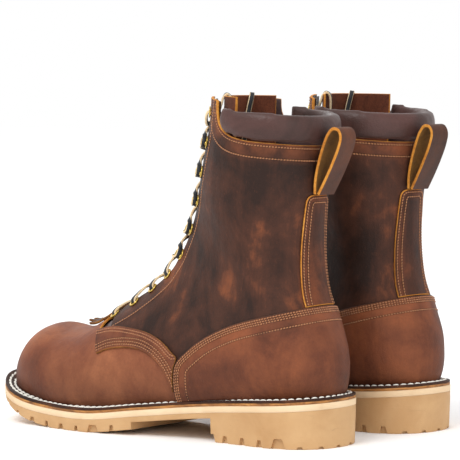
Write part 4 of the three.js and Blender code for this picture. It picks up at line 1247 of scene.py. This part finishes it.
def welt_stitches():
    """White lockstitch: two rows round the toe and forefoot, one round the waist and heel."""
    rows = []
    split = Y(8)
    for inset, forefoot_only in zip(WELT_ROWS, (False, True)):
        half = SOLE_LENGTH / 2 - inset
        s = (1 - np.cos(PI * np.arange(240) / 239)) / 2
        y = -half + 2 * half * s
        if forefoot_only:
            y = y[y < split]
        left = np.stack([-sole_edge(y, -1, inset), y, welt_top(y)], 1)[::-1]
        right = np.stack([sole_edge(y, 1, inset), y, welt_top(y)], 1)
        line = np.vstack([left, right[1:]])
        places = resample(line, WELT_PITCH, WELT_PITCH / 2)
        at = at_places(line, places)
        along = np.gradient(at, axis=0)
        along /= np.linalg.norm(along, axis=1, keepdims=True)
        out = np.tile([0, 0, 1.0], (len(at), 1))
        out -= along * (out * along).sum(1, keepdims=True)
        out /= np.linalg.norm(out, axis=1, keepdims=True)
        rows.append((at + out * 0.1, along, out))
    return stitches(rows, 5.1, 1.85, 1.55, slant=0.2, sink=0.6)


# ---- Hooks and eyelets -------------------------------------------------------------------------------
def turned(profile, frame, segments=28):
    """A lathe form about a lace hole: the profile holds radius and height over the last."""
    at, away, up, out = frame
    angles = 2 * PI * np.arange(segments) / segments
    ring = np.outer(np.cos(angles), away) + np.outer(np.sin(angles), up)
    points = np.vstack([at + ring * r + out * h for r, h in profile])
    n = segments
    faces = [(r * n + k, r * n + (k + 1) % n, (r + 1) * n + (k + 1) % n, (r + 1) * n + k)
             for r in range(len(profile) - 1) for k in range(n)]
    return tidy({"points": points, "faces": faces}, 1e-4)


def ring_profile(hole, rim, low, high):
    crown = (hole + rim) / 2
    bend = (rim - hole) / 2
    arch = [(crown - bend * math.cos(a), high - 0.55 + 0.55 * math.sin(a)) for a in np.linspace(0, PI, 9)]
    return [(hole, low)] + arch + [(rim - 0.1, high - 0.9), (hole + 0.45, high - 0.9), (hole + 0.45, low),
                                   (hole, low)]


def ribbon(path, widths, across, thickness, bevel=0.18, kinds=(0, 1, 2)):
    """A strap along path: widths and the direction across it at each point, kinds (top, edges, bottom)."""
    path = np.asarray(path, float)
    along = np.gradient(path, axis=0)
    along /= np.linalg.norm(along, axis=1, keepdims=True)
    across = across - along * (across * along).sum(1, keepdims=True)
    across /= np.linalg.norm(across, axis=1, keepdims=True)
    out = np.cross(across, along)
    w = (np.asarray(widths, float) / 2)[:, None]
    t = thickness / 2
    rings = [path + across * (sx * (w - (bevel if flat else 0))) + out * (sy * (t - (0 if flat else bevel)))
             for sx, sy, flat in ((-1, -1, 1), (1, -1, 1), (1, -1, 0), (1, 1, 0), (1, 1, 1), (-1, 1, 1),
                                  (-1, 1, 0), (-1, -1, 0))]
    points = np.stack(rings, 1).reshape(-1, 3)
    ring_kinds = (kinds[2], kinds[1], kinds[1], kinds[1], kinds[0], kinds[1], kinds[1], kinds[1])
    faces, marks = [], []
    for r in range(len(path) - 1):
        for k in range(8):
            j = (k + 1) % 8
            faces.append((r * 8 + k, r * 8 + j, (r + 1) * 8 + j, (r + 1) * 8 + k))
            marks.append(ring_kinds[k])
    end = (len(path) - 1) * 8
    faces += [tuple(reversed(range(8))), tuple(range(end, end + 8))]
    marks += [kinds[1]] * 2
    return {"points": points, "faces": faces, "kinds": marks}


def hook(frame):
    """A speed hook: a domed plate on the leather and a tongue that curls over the lace."""
    at, away, up, out = frame
    plate = turned([(0, 1.9), (4.5, 1.9), (4.6, 2.25), (4.3, 2.6), (3.4, 2.85), (2.2, 2.9), (0, 2.9)], frame)
    plate["points"] = plate["points"] + away * 1.2
    curl = [(-2.4, 2.7), (-2.1, 3.2), (-1.7, 4.1), (-1.2, 5.2), (0, 5.9), (1.4, 6.0), (2.5, 5.7)]
    line, _ = centripetal(curl, 5)
    path = at + np.outer(line[:, 0], away) + np.outer(line[:, 1], out)
    s = np.linspace(0, 1, len(path))
    widths = 3.2 + 2.0 * np.clip((s - 0.4) / 0.4, 0, 1) - 3.2 * np.clip((s - 0.82) / 0.18, 0, 1) ** 2
    tongue_part = ribbon(path, widths, np.tile(up, (len(path), 1)), 0.9, bevel=0.3, kinds=(0, 0, 0))
    rivet = turned([(1.4, 2.8), (1.35, 3.2), (0.9, 3.5), (0, 3.6)], frame, 16)
    rivet["points"] = rivet["points"] + away * 4.0
    return [plate, tongue_part, rivet]


def lace_hardware(side):
    parts = []
    for i in range(PAIRS):
        frame_at = hole_frame(i, side)
        if is_hook(i):
            parts += hook(frame_at)
        else:
            flange = ring_profile(EYELET_HOLE, EYELET_RADIUS + 0.1, FACING_LOW - 0.5, 3.1)
            parts.append(turned(flange, frame_at))
            washer = [(EYELET_HOLE, FACING_LOW - 0.5), (EYELET_RADIUS - 0.6, FACING_LOW - 0.6),
                      (EYELET_RADIUS - 0.5, FACING_LOW - 0.1), (EYELET_HOLE, FACING_LOW)]
            parts.append(turned(washer, frame_at))
    return join(parts)


# ---- Lace ------------------------------------------------------------------------------------------------
OVER = UPPER_LEATHER + GAP + LACE / 2 + 0.9
UNDER = (FACING_LOW + TONGUE_HIGH) / 2 - 0.6
LACE_WIDTH, LACE_THICKNESS = 3.5, 1.7


def beside(i, side, away, up, out):
    at, a, u, o = hole_frame(i, side)
    return at + a * away + u * up + o * out


def midway(i, share, out):
    here, there = LACE_ROWS[i][0], LACE_ROWS[min(i + 1, PAIRS - 1)][0]
    v = here + (there - here) * share
    return off_last(v, PI - 0.001, out), last_normal(v, PI - 0.001)


def strand(side, lift):
    """One half of the lace: places, each with the way its face looks or None."""
    def out_of(i, s):
        return hole_frame(i, s)[3]

    route = [(beside(0, side, -6.5, 0, UNDER), out_of(0, side)), (beside(0, side, -0.5, 0, UNDER), None),
             (beside(0, side, 0, 0, FACING_LOW), None), (beside(0, side, 0, 0, OVER - 0.8), None)]
    here = side
    for i in range(PAIRS - 1):
        rise = 2.5 if is_hook(i) else 0
        route.append((beside(i, here, -6.5, 3 + rise, OVER - 0.3), out_of(i, here)))
        point, normal = midway(i, 0.5, OVER - 2.2 + lift)
        route.append((point, normal))
        here = -here
        k = i + 1
        _, away, up, out = hole_frame(k, here)
        if is_hook(k):
            ring = HOOK_STEM + LACE / 2 + 1
            held = OVER + 0.1
            route += [(beside(k, here, -6, -ring - 2.2, held), None),
                      (beside(k, here, 0.5, -ring, held), up),
                      (beside(k, here, ring, 0, held), away),
                      (beside(k, here, 0.5, ring, held), up)]
        elif k == PAIRS - 1:
            route += [(beside(k, here, -5, -9, OVER - 0.2), out),
                      (beside(k, here, 0, -1.5, OVER + 0.2), None),
                      (beside(k, here, 0, 0, OVER - 1), None),
                      (beside(k, here, 0, 0, FACING_LOW - 0.6), None)]
        else:
            route += [(beside(k, here, -6.5, -3, UNDER), out), (beside(k, here, -0.5, 0, UNDER), None),
                      (beside(k, here, 0, 0, FACING_LOW), None), (beside(k, here, 0, 0, OVER - 0.8), None)]
    behind = TONGUE_LOW - LACE - 0.5
    last = PAIRS - 1
    out = out_of(last, here)
    tail = [(-3, 6, UNDER, out), (-5, 10, UNDER - 1, out), (-6, 13, TONGUE_LOW + 0.5, None),
            (-7, 11, behind, out), (-8, 0, behind - 1, out), (-8, -22, behind - 1, out),
            (-7, -44, behind, out)]
    return route + [(beside(last, here, a, u, o), n) for a, u, o, n in tail]


def lace():
    one, other = strand(1, 0), strand(-1, LACE)
    route = one[::-1] + other
    path, marks = centripetal([p for p, _ in route], 9)
    along = np.gradient(path, axis=0)
    along /= np.linalg.norm(along, axis=1, keepdims=True)
    face = np.zeros_like(path)
    first = next(n for _, n in route if n is not None)
    n = first - along[0] * (first @ along[0])
    face[0] = n / np.linalg.norm(n)
    for k in range(1, len(path)):
        n = face[k - 1] - along[k] * (face[k - 1] @ along[k])
        face[k] = n / np.linalg.norm(n)
    places, angles, last_angle = [0], [0.0], 0.0
    for m, (_, wish) in zip(marks, route):
        if wish is None or m == 0:
            continue
        w = wish - along[m] * (wish @ along[m])
        if np.linalg.norm(w) < 0.5:
            continue
        a = math.atan2(np.cross(face[m], w) @ along[m], face[m] @ w)
        a = last_angle + (a - last_angle + PI / 2) % PI - PI / 2  # either face of the lace may look out
        places.append(m)
        angles.append(a)
        last_angle = a
    turn = np.interp(np.arange(len(path)), places, angles)[:, None]
    face = face * np.cos(turn) + np.cross(along, face) * np.sin(turn)
    across = np.cross(face, along)
    return ribbon(path, np.full(len(path), LACE_WIDTH), across, LACE_THICKNESS, bevel=0.22)


# ---- Pull loop ---------------------------------------------------------------------------------------------
def pull_loop():
    v, _ = locate(129.8, STAY_TOP)
    root_y, root_z = float(last_point(v, 0.001)[1]), Z(STAY_TOP) + 1
    t = LOOP_LEATHER
    path = [(4.8, 0), (5.4, 10), (8.4, 23), (12.5, 35), (16, 42.5), (20, 46.6), (24.6, 46), (27, 41.5),
            (25.5, 34), (20.2, 22), (13.8, 10), (4.8 + t + 0.9, 0)]
    line, _ = centripetal([(0, root_y + y, root_z + z) for y, z in path], 10)
    across = np.tile([1.0, 0, 0], (len(line), 1))
    widths = LOOP_WIDTH + 0.5 * np.sin(np.linspace(0, 9, len(line)))
    made = ribbon(line, widths, across, t, bevel=0.45)
    return made


# ---- Collar ----------------------------------------------------------------------------------------------
def on_line(points):
    ys, zs = zip(*points)
    return lambda y: np.interp(y, ys, zs)


def crossing(u, line):
    """v where the last's line of constant u crosses a line seen from the side."""
    low, high = 14.0, float(LAST_SECTION)
    for _ in range(40):
        middle = (low + high) / 2
        p = last_point(middle, u)
        if p[2] < Z(line(refY(p[1]))):
            low = middle
        else:
            high = middle
    return low


COLLAR_TOP = [(60, 249), (67, 248.3), (78, 244.2), (92, 242), (117, 240), (160, 236)]
COLLAR_BOTTOM = [(60, 250)] + COLLAR_LINE[2:] + [(200, 211)]


def collar_rings(steps, corners, shrink):
    """The roll over the quarters' top line, from one front corner to the other."""
    rings = []
    front = locate(74, 240)[1]
    bottom_line, top_line = on_line(COLLAR_BOTTOM), on_line(COLLAR_TOP)
    for i in range(steps + 1):
        u = front * (1 - 2 * i / steps)
        vb, vt = crossing(u, bottom_line), crossing(u, top_line)
        bottom = off_last(vb, u, 1) + np.array([0, 0, GAP + 0.3])
        top = off_last(vt, u, 1)
        out = last_normal((vb + vt) / 2, u) * (1, 1, 0)
        out /= np.linalg.norm(out)
        up = top - bottom
        centre = bottom + up * 0.5
        near_end = min(i, steps - i) * 16 / steps
        fade = min(1, 0.45 + 0.132 * near_end) * (1 - shrink)
        a = 2 * PI * np.arange(corners) / corners
        high = 0.5 * np.sign(np.sin(a)) * np.abs(np.sin(a)) ** 0.8 
        rings.append(centre + np.outer(high, up) + np.outer(0.5 * COLLAR_PAD * fade * np.cos(a) + 0.6, out))
    return rings


def closed_skin(rings):
    n = len(rings[0])
    faces = [(r * n + k, r * n + (k + 1) % n, (r + 1) * n + (k + 1) % n, (r + 1) * n + k)
             for r in range(len(rings) - 1) for k in range(n)]
    end = (len(rings) - 1) * n
    faces += [tuple(range(n)), tuple(range(end, end + n))]
    return tidy({"points": np.vstack(rings), "faces": faces})


def collar():
    """The stuffed roll: swollen by a cloth simulation from a slightly smaller form."""
    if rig.quick():
        return closed_skin(collar_rings(60, 20, 0.0))
    return inflate(closed_skin(collar_rings(72, 22, 0.1)), voxel=2.8, pressure=4.0, cap=2.0)


def inflate(shape, voxel, pressure, cap, frames=20):
    """Voxel remesh, then Blender's cloth under pressure; no point moves further than cap millimetres."""
    obj = scratch({"points": np.asarray(shape["points"]) * MM, "faces": shape["faces"]}, "pad")
    remesh = obj.modifiers.new("remesh", "REMESH")
    remesh.mode, remesh.voxel_size = "VOXEL", voxel * MM
    even = obj.modifiers.new("even", "SMOOTH")
    even.iterations = 2
    bpy.context.view_layer.update()
    start = bpy.data.meshes.new_from_object(obj.evaluated_get(bpy.context.evaluated_depsgraph_get()))
    obj.modifiers.clear()
    obj.data = start
    before = np.zeros(len(start.vertices) * 3)
    start.vertices.foreach_get("co", before)
    before = before.reshape(-1, 3)
    cloth = obj.modifiers.new("cloth", "CLOTH")
    settings = cloth.settings
    settings.use_pressure, settings.uniform_pressure_force = True, pressure
    settings.effector_weights.gravity = 0
    settings.quality, settings.mass = 6, 0.3
    settings.tension_stiffness = settings.compression_stiffness = 25
    settings.bending_stiffness = 2
    cloth.point_cache.frame_start, cloth.point_cache.frame_end = 1, frames
    scene = bpy.context.scene
    for f in range(1, frames + 1):
        scene.frame_set(f)
    mesh = bpy.data.meshes.new_from_object(obj.evaluated_get(bpy.context.evaluated_depsgraph_get()))
    after = np.zeros(len(mesh.vertices) * 3)
    mesh.vertices.foreach_get("co", after)
    after = after.reshape(-1, 3)
    scene.frame_set(1)
    move = after - before
    far = np.linalg.norm(move, axis=1, keepdims=True)
    after = before + move * np.minimum(1, cap * MM / np.maximum(far, 1e-9))
    faces = [tuple(p.vertices) for p in mesh.polygons]
    data = obj.data
    bpy.data.objects.remove(obj)
    for m in (data, mesh):
        bpy.data.meshes.remove(m)
    return subdivided({"points": after / MM, "faces": faces})


def subdivided(shape, levels=1):
    obj = scratch(shape)
    obj.modifiers.new("subdivide", "SUBSURF").levels = levels
    bpy.context.view_layer.update()
    mesh = bpy.data.meshes.new_from_object(obj.evaluated_get(bpy.context.evaluated_depsgraph_get()))
    points = np.zeros(len(mesh.vertices) * 3)
    mesh.vertices.foreach_get("co", points)
    out = {"points": points.reshape(-1, 3), "faces": [tuple(p.vertices) for p in mesh.polygons]}
    data = obj.data
    bpy.data.objects.remove(obj)
    bpy.data.meshes.remove(data)
    bpy.data.meshes.remove(mesh)
    return out


# ---- Materials -------------------------------------------------------------------------------------------
MATERIAL = {}


def colour(code):
    """A linear colour from its sRGB hex code."""
    parts = [int(code[i:i + 2], 16) / 255 for i in (1, 3, 5)]
    return tuple(c / 12.92 if c <= 0.04045 else ((c + 0.055) / 1.055) ** 2.4 for c in parts) + (1,)


class Finish:
    """A material's node tree, with short ways to add its nodes."""

    def __init__(self, name):
        self.material = bpy.data.materials.new(name)
        self.material.use_nodes = True
        self.tree = self.material.node_tree
        self.shader = self.tree.nodes["Principled BSDF"]
        self.place = self.node("ShaderNodeTexCoord").outputs["Object"]
        MATERIAL[name] = self.material

    def node(self, kind, ins=None, **props):
        made = self.tree.nodes.new(kind)
        for key, value in props.items():
            setattr(made, key, value)
        for key, value in (ins or {}).items():
            self.put(made.inputs[key], value)
        return made

    def put(self, socket, value):
        if isinstance(value, bpy.types.NodeSocket):
            self.tree.links.new(value, socket)
        else:
            socket.default_value = value

    def math(self, operation, a, b=0.0, c=0.0, clamp=False):
        made = self.node("ShaderNodeMath", {0: a, 1: b, 2: c}, operation=operation, use_clamp=clamp)
        return made.outputs[0]

    def noise(self, scale, detail=3.0, rough=0.5, distort=0.0, stretch=None, shift=(0, 0, 0)):
        where = self.place
        if stretch or any(shift):
            ins = {"Vector": where, "Scale": stretch or (1, 1, 1), "Location": shift}
            where = self.node("ShaderNodeMapping", ins).outputs[0]
        ins = {"Vector": where, "Scale": scale, "Detail": detail, "Roughness": rough, "Distortion": distort}
        return self.node("ShaderNodeTexNoise", ins).outputs["Fac"]

    def cells(self, scale, output="Distance", feature="F1"):
        ins = {"Vector": self.place, "Scale": scale}
        return self.node("ShaderNodeTexVoronoi", ins, feature=feature).outputs[output]

    def ramp(self, value, stops):
        made = self.node("ShaderNodeValToRGB", {"Fac": value})
        elements = made.color_ramp.elements
        while len(elements) < len(stops):
            elements.new(0.5)
        for element, (at, tint) in zip(elements, stops):
            element.position = at
            element.color = colour(tint) if isinstance(tint, str) else (tint, tint, tint, 1)
        return made.outputs["Color"]

    def mix(self, share, a, b, blend="MIX"):
        made = self.node("ShaderNodeMix", data_type="RGBA", blend_type=blend)
        for socket, value in zip((made.inputs[0], made.inputs[6], made.inputs[7]), (share, a, b)):
            self.put(socket, value)
        return made.outputs[2]

    def bump(self, height, distance, strength=1.0, under=None):
        ins = {"Height": height, "Distance": distance, "Strength": strength}
        if under is not None:
            ins["Normal"] = under
        return self.node("ShaderNodeBump", ins).outputs[0]

    def set(self, **values):
        names = {"base": "Base Color", "rough": "Roughness", "metal": "Metallic", "normal": "Normal",
                 "sheen": "Sheen Weight", "sheen_rough": "Sheen Roughness", "specular": "Specular IOR Level",
                 "coat": "Coat Weight", "coat_rough": "Coat Roughness"}
        for key, value in values.items():
            self.put(self.shader.inputs[names[key]], value)
        return self


def near_row(finish, seam, row, width):
    """1 along a stitch row, falling to 0 at width millimetres from it."""
    off = finish.math("ABSOLUTE", finish.math("SUBTRACT", seam, row))
    return finish.math("SUBTRACT", 1.0, finish.math("DIVIDE", off, width), clamp=True)


def oiled_leather(name, dark="#3b2c29", mid="#5a3728", light="#93593a", rows=(), shift=(0, 0, 0), burnish=0.0,
                  streaks=0.3, scale=1.0, levels=(0.36, 0.5, 0.68), ground_shade=0.62):
    """Pull-up leather: mottled where it has been bent, finely scratched, pressed in along its stitches; painted shade
    darkens the stitch rows and the leather low down near the ground.
    """
    f = Finish(name)
    broad = f.noise(15 * scale, 4, 0.6, 0.9, shift=shift)
    cloudy = f.noise(46 * scale, 5, 0.65, 0.5, shift=shift)
    drawn = f.noise(30 * scale, 4, 0.6, 1.2, stretch=(1.6, 1.6, 0.42), shift=shift)
    mottle = f.math("ADD", f.math("MULTIPLY", broad, 0.5), f.math("MULTIPLY", cloudy, 0.28))
    mottle = f.math("ADD", mottle, f.math("MULTIPLY", drawn, 0.22 + 0.2 * streaks))
    mottle = f.math("SUBTRACT", mottle, 0.1 * streaks)
    base = f.ramp(mottle, [(levels[0], dark), (levels[1], mid), (levels[2], light)])
    fibre = f.noise(520, 3, 0.7)
    base = f.mix(1.0, base, f.ramp(fibre, [(0.25, 0.78), (0.75, 1.0)]), "MULTIPLY")
    # Painted shade: the colour is darkened near the floor, most below about 30 mm and none from 60 mm up.
    height_over = f.node("ShaderNodeSeparateXYZ", {"Vector": f.place}).outputs[2]
    shade = f.ramp(f.math("MULTIPLY", height_over, 10), [(0.3, ground_shade), (0.6, 1.0)])
    base = f.mix(1.0, base, shade, "MULTIPLY")
    hairs = f.noise(260, 2, 0.6, 2.2, stretch=(1, 3.4, 0.6))
    scuffs = f.ramp(hairs, [(0.62, 0.0), (0.8, 0.22)])
    base = f.mix(scuffs, base, colour(light), "MIX")
    seam = f.node("ShaderNodeAttribute", attribute_name="seam").outputs["Fac"]
    height = f.math("MULTIPLY", f.noise(170, 4, 0.6, 1.5), 0.5)
    if rows:
        worn = f.math("SUBTRACT", 1.0, f.math("DIVIDE", seam, max(rows) + 4), clamp=True)
        patchy = f.math("MULTIPLY", worn, f.ramp(f.noise(70, 3, 0.6), [(0.35, 0.1), (0.65, 0.6)]))
        base = f.mix(patchy, base, colour(light))
        for row in rows:
            # Each row is dented and also painted dark: painted shade of the pressed groove and its stitch holes.
            pressed = near_row(f, seam, row, 1.0)
            base = f.mix(f.math("MULTIPLY", pressed, 0.75), base, colour("#1a110d"))
            height = f.math("SUBTRACT", height, f.math("MULTIPLY", pressed, 0.9))
    if burnish:
        edge = f.math("SUBTRACT", 1.0, f.math("DIVIDE", seam, 1.4), clamp=True)
        base = f.mix(f.math("MULTIPLY", edge, burnish), base, colour("#1d1513"))
    pores = f.math("MULTIPLY", f.cells(1150), 0.7)
    grain = f.math("ADD", pores, f.math("MULTIPLY", f.noise(1700, 3, 0.6), 0.6))
    soft = f.bump(height, 0.0007, 0.75)
    fine = f.bump(grain, 0.00016, 0.8, soft)
    rough = f.ramp(f.math("ADD", f.math("MULTIPLY", broad, 0.5), f.math("MULTIPLY", fibre, 0.5)),
                   [(0.3, 0.46), (0.7, 0.7)])
    f.set(base=base, rough=rough, normal=fine, sheen=0.0, specular=0.2)
    return f


def soft_leather(name, dark, light, grain=900, gloss=(0.36, 0.52)):
    f = Finish(name)
    base = f.ramp(f.noise(24, 4, 0.6, 0.6), [(0.35, dark), (0.68, light)])
    base = f.mix(1.0, base, f.ramp(f.noise(700, 2, 0.6), [(0.3, 0.86), (0.7, 1.0)]), "MULTIPLY")
    creases = f.bump(f.noise(95, 4, 0.55, 1.8), 0.0009, 0.35)
    fine = f.bump(f.cells(grain), 0.00018, 0.7, creases)
    rough = f.ramp(f.noise(60, 3, 0.5), [(0.3, gloss[0]), (0.7, gloss[1])])
    return f.set(base=base, rough=rough, normal=fine, sheen=0.04, specular=0.3)


def suede(name, dark, light):
    f = Finish(name)
    nap = f.noise(1300, 4, 0.75, 0.4)
    broad = f.noise(60, 4, 0.6, 0.8)
    mixed = f.math("ADD", f.math("MULTIPLY", nap, 0.6), f.math("MULTIPLY", broad, 0.4))
    base = f.ramp(mixed, [(0.32, dark), (0.68, light)])
    return f.set(base=base, rough=0.95, normal=f.bump(nap, 0.0006, 0.9), sheen=0.06, sheen_rough=0.6,
                 specular=0.1)


def raw_edge(name, dark, mid, light):
    """A cut leather edge: fibres along it, darker where the knife burned it."""
    f = Finish(name)
    along = f.noise(520, 4, 0.7, 0.5, stretch=(1, 1, 1.6))
    broad = f.noise(70, 3, 0.6)
    mixed = f.math("ADD", f.math("MULTIPLY", along, 0.55), f.math("MULTIPLY", broad, 0.45))
    base = f.ramp(mixed, [(0.3, dark), (0.48, mid), (0.7, light)])
    return f.set(base=base, rough=0.8, normal=f.bump(along, 0.0005, 0.8), specular=0.3)


def rubber(name, dark, light, scuff="#8d6f4a"):
    f = Finish(name)
    base = f.ramp(f.noise(22, 4, 0.6, 0.4), [(0.3, dark), (0.7, light)])
    specks = f.ramp(f.cells(420), [(0.05, 0.82), (0.16, 1.0)])
    base = f.mix(0.35, base, specks, "MULTIPLY")
    drag = f.noise(120, 4, 0.7, 1.0, stretch=(0.6, 0.6, 2.4))
    base = f.mix(f.ramp(drag, [(0.62, 0.0), (0.78, 0.3)]), base, colour(scuff))
    height = f.math("ADD", f.math("MULTIPLY", f.noise(900, 3, 0.6), 0.5), f.math("MULTIPLY", drag, 0.8))
    rough = f.ramp(f.noise(90, 3, 0.6), [(0.3, 0.55), (0.7, 0.76)])
    return f.set(base=base, rough=rough, normal=f.bump(height, 0.0003, 0.5), specular=0.35)


def layered_edge(name, dark, mid, light):
    """The stacked fibres of a leather sole's edge, with inked stretches."""
    f = Finish(name)
    fibres = f.noise(160, 4, 0.65, 0.4, stretch=(0.5, 0.5, 5))
    ink = f.noise(60, 4, 0.65, 0.8, stretch=(1, 1, 2))
    base = f.ramp(f.math("ADD", f.math("MULTIPLY", fibres, 0.5), f.math("MULTIPLY", ink, 0.5)),
                  [(0.36, dark), (0.5, mid), (0.66, light)])
    return f.set(base=base, rough=0.62, normal=f.bump(fibres, 0.0005, 0.7), specular=0.4)


def brass(name):
    f = Finish(name)
    tarnish = f.noise(240, 4, 0.6, 0.6)
    base = f.ramp(tarnish, [(0.3, "#a98a3c"), (0.62, "#dcbc62")])
    rough = f.ramp(f.noise(600, 3, 0.6), [(0.3, 0.2), (0.7, 0.38)])
    return f.set(base=base, rough=rough, metal=1.0, normal=f.bump(tarnish, 0.0001, 0.4))


def thread(name, dark, light):
    f = Finish(name)
    ply = f.noise(900, 3, 0.6, 0.8, stretch=(1, 1, 2.5))
    base = f.ramp(ply, [(0.3, dark), (0.65, light)])
    return f.set(base=base, rough=0.6, normal=f.bump(ply, 0.0002, 0.7), sheen=0.15)


def plain_fibre(name, dark, light, scale, rough=0.85):
    f = Finish(name)
    base = f.ramp(f.noise(scale, 5, 0.7, 0.5), [(0.35, dark), (0.65, light)])
    return f.set(base=base, rough=rough, normal=f.bump(f.cells(scale * 2), 0.0004, 0.6))


oiled_leather("vamp_leather", "#4f2c1e", "#7c452e", "#aa6a47", levels=(0.3, 0.47, 0.66),
              shift=(0.3, 0.05, 0.1), streaks=0.0, scale=0.6)
oiled_leather("quarter_leather", "#2c1a13", "#4c2c1f", "#945230", rows=STITCH_ROWS["quarter"],
              shift=(1.1, 0.4, 0.0), scale=0.6, levels=(0.42, 0.52, 0.64))
oiled_leather("wing_leather", "#42271d", "#693a28", "#935636", rows=STITCH_ROWS["wing"],
              shift=(0.2, 0.9, 0.4))
oiled_leather("counter_leather", "#331d16", "#6a3a26", "#985736", rows=STITCH_ROWS["counter"], burnish=0.8,
              shift=(0.7, 0.1, 0.9), levels=(0.34, 0.48, 0.66), streaks=0.1, scale=0.6)
oiled_leather("stay_leather", "#2b1913", "#4a2a1d", "#83472a", rows=STITCH_ROWS["stay"], burnish=0.5,
              shift=(0.5, 0.5, 0.2))
oiled_leather("loop_leather", "#402b24", "#5a3728", "#7c462c", shift=(0.1, 0.6, 0.3),
              levels=(0.36, 0.55, 0.75))
oiled_leather("kiltie_leather", "#2a2224", "#3d2d29", "#593a2c", shift=(0.9, 0.3, 0.5))
oiled_leather("welt_leather", "#2c1c16", "#4a2c20", "#7d4a2a", shift=(0.4, 0.2, 0.8))
soft_leather("collar_leather", "#38241f", "#543631")
soft_leather("lining_leather", "#3f2d2c", "#533b38")
soft_leather("lace_black", "#17181b", "#2b2d31", grain=1500, gloss=(0.4, 0.55))
suede("inner_suede", "#3a2017", "#6d3f2a")
suede("tongue_suede", "#3f2017", "#7a432c")
suede("loop_suede", "#4a2f12", "#946627")
raw_edge("raw_edge", "#8a4f1c", "#c07b2b", "#dea047")
raw_edge("kiltie_edge", "#3a2414", "#7a4d22", "#b87f38")
raw_edge("dark_edge", "#241814", "#3f2a20", "#6b4527")
raw_edge("lace_cream", "#c9a478", "#ecd2a8", "#f6e6c8")
layered_edge("sole_leather", "#5e3a1c", "#a06a35", "#c98f4c")
rubber("gum_rubber", "#b48a5c", "#c9a274")
rubber("light_rubber", "#dcbd96", "#e8cda9", scuff="#c9a67c")
brass("brass")
thread("upper_thread", "#6b4026", "#bb7d4e")
thread("welt_thread", "#d9d2c4", "#fbf8f0")
plain_fibre("cork", "#7b5c3c", "#b58f62", 300)
plain_fibre("board", "#6a5a48", "#8c7a62", 500)
plain_fibre("insole_leather", "#8a6238", "#b78b58", 200, 0.7)
STEEL = Finish("steel")
STEEL.set(base=STEEL.ramp(STEEL.noise(200, 3), [(0.3, "#6f7377"), (0.7, "#9a9da1")]), metal=1.0,
          rough=STEEL.ramp(STEEL.noise(900, 3), [(0.3, 0.3), (0.7, 0.5)]))


# ---- Assembly ----------------------------------------------------------------------------------------------
GRAIN_SUEDE_RAW = ["inner_suede", "raw_edge"]


def assemble():
    emit("vamp_skin", vamp(), ["vamp_leather", *GRAIN_SUEDE_RAW], replaces=["vamp"], slot="oiled_leather")
    for side, word in ((1, "lateral"), (-1, "medial")):
        emit(f"quarter_skin_{word}", quarter(side), ["quarter_leather", "lining_leather", "raw_edge"],
             replaces=[f"quarter_{word}"], slot="oiled_leather")
        emit(f"wing_skin_{word}", wing(side), ["wing_leather", "inner_suede", "kiltie_edge"],
             replaces=[f"wing_{word}"], slot="oiled_leather")
        emit(f"facing_skin_{word}", facing(side), ["lining_leather", "lining_leather", "dark_edge"],
             replaces=[f"facing_{word}"], slot="suede")
        emit(f"hooks_and_eyelets_{word}", lace_hardware(side), ["brass"], replaces=[f"lace_hardware_{word}"],
             slot="brass", sharp=60)
    emit("counter_skin", counter(), ["counter_leather", "inner_suede", "dark_edge"],
         replaces=["heel_counter"], slot="oiled_leather")
    emit("backstay_skin", backstay(), ["stay_leather", "inner_suede", "raw_edge"], replaces=["backstay"],
         slot="oiled_leather")
    emit("tongue_skin", tongue(), ["tongue_suede", "tongue_suede", "raw_edge"], replaces=["tongue"],
         slot="suede")
    emit("kiltie_skin", kiltie(), ["kiltie_leather", "inner_suede", "kiltie_edge"], body="flap",
         replaces=["kiltie"], slot="oiled_leather")
    emit("outsole_tread", outsole(), ["gum_rubber"], replaces=["outsole"], slot="gum_rubber", sharp=35)
    emit("midsole_strip", rubber_midsole(), ["light_rubber"], replaces=["rubber_midsole"],
         slot="light_rubber")
    emit("midsole_edge", leather_midsole(), ["sole_leather"], replaces=["leather_midsole"],
         slot="sole_leather")
    emit("welt_strap", welt(), ["welt_leather"], replaces=["welt"], slot="oiled_leather")
    emit("welt_stitching", welt_stitches(), ["welt_thread"], slot="lace_cord")
    emit("upper_stitching", upper_stitches(), ["upper_thread"], slot="lace_cord")
    emit("lace_thong", lace(), ["lace_black", "lace_cream", "lace_black"], replaces=["lace"],
         slot="lace_cord")
    emit("pull_loop_strap", pull_loop(), ["loop_leather", "raw_edge", "loop_suede"], body="loop",
         replaces=["pull_loop"], slot="oiled_leather", sharp=40)
    emit("collar_roll", collar(), ["collar_leather"], replaces=["collar"], slot="collar_leather")
    for boot in ("left", "right"):
        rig.padded(PIECES[f"{boot}_collar_roll"], fill=0.8)
        for node, finish in (("cork_filler", "cork"), ("shank", "steel"), ("insole", "insole_leather"),
                             ("toe_puff", "board"), ("heel_stiffener", "board")):
            slots = frame["nodes"][f"{boot}_{node}"].material_slots
            for slot in slots:
                slot.link = "OBJECT"
                slot.material = MATERIAL[finish]


assemble()
bpy.context.scene.view_settings.view_transform = "Standard"

with open("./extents.json", "w") as sizes:
    boxes = {"cad": CAD_BOX, "visual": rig.bounds()}
    json.dump({k: [[float(x) for x in corner] for corner in box] for k, box in boxes.items()}, sizes)
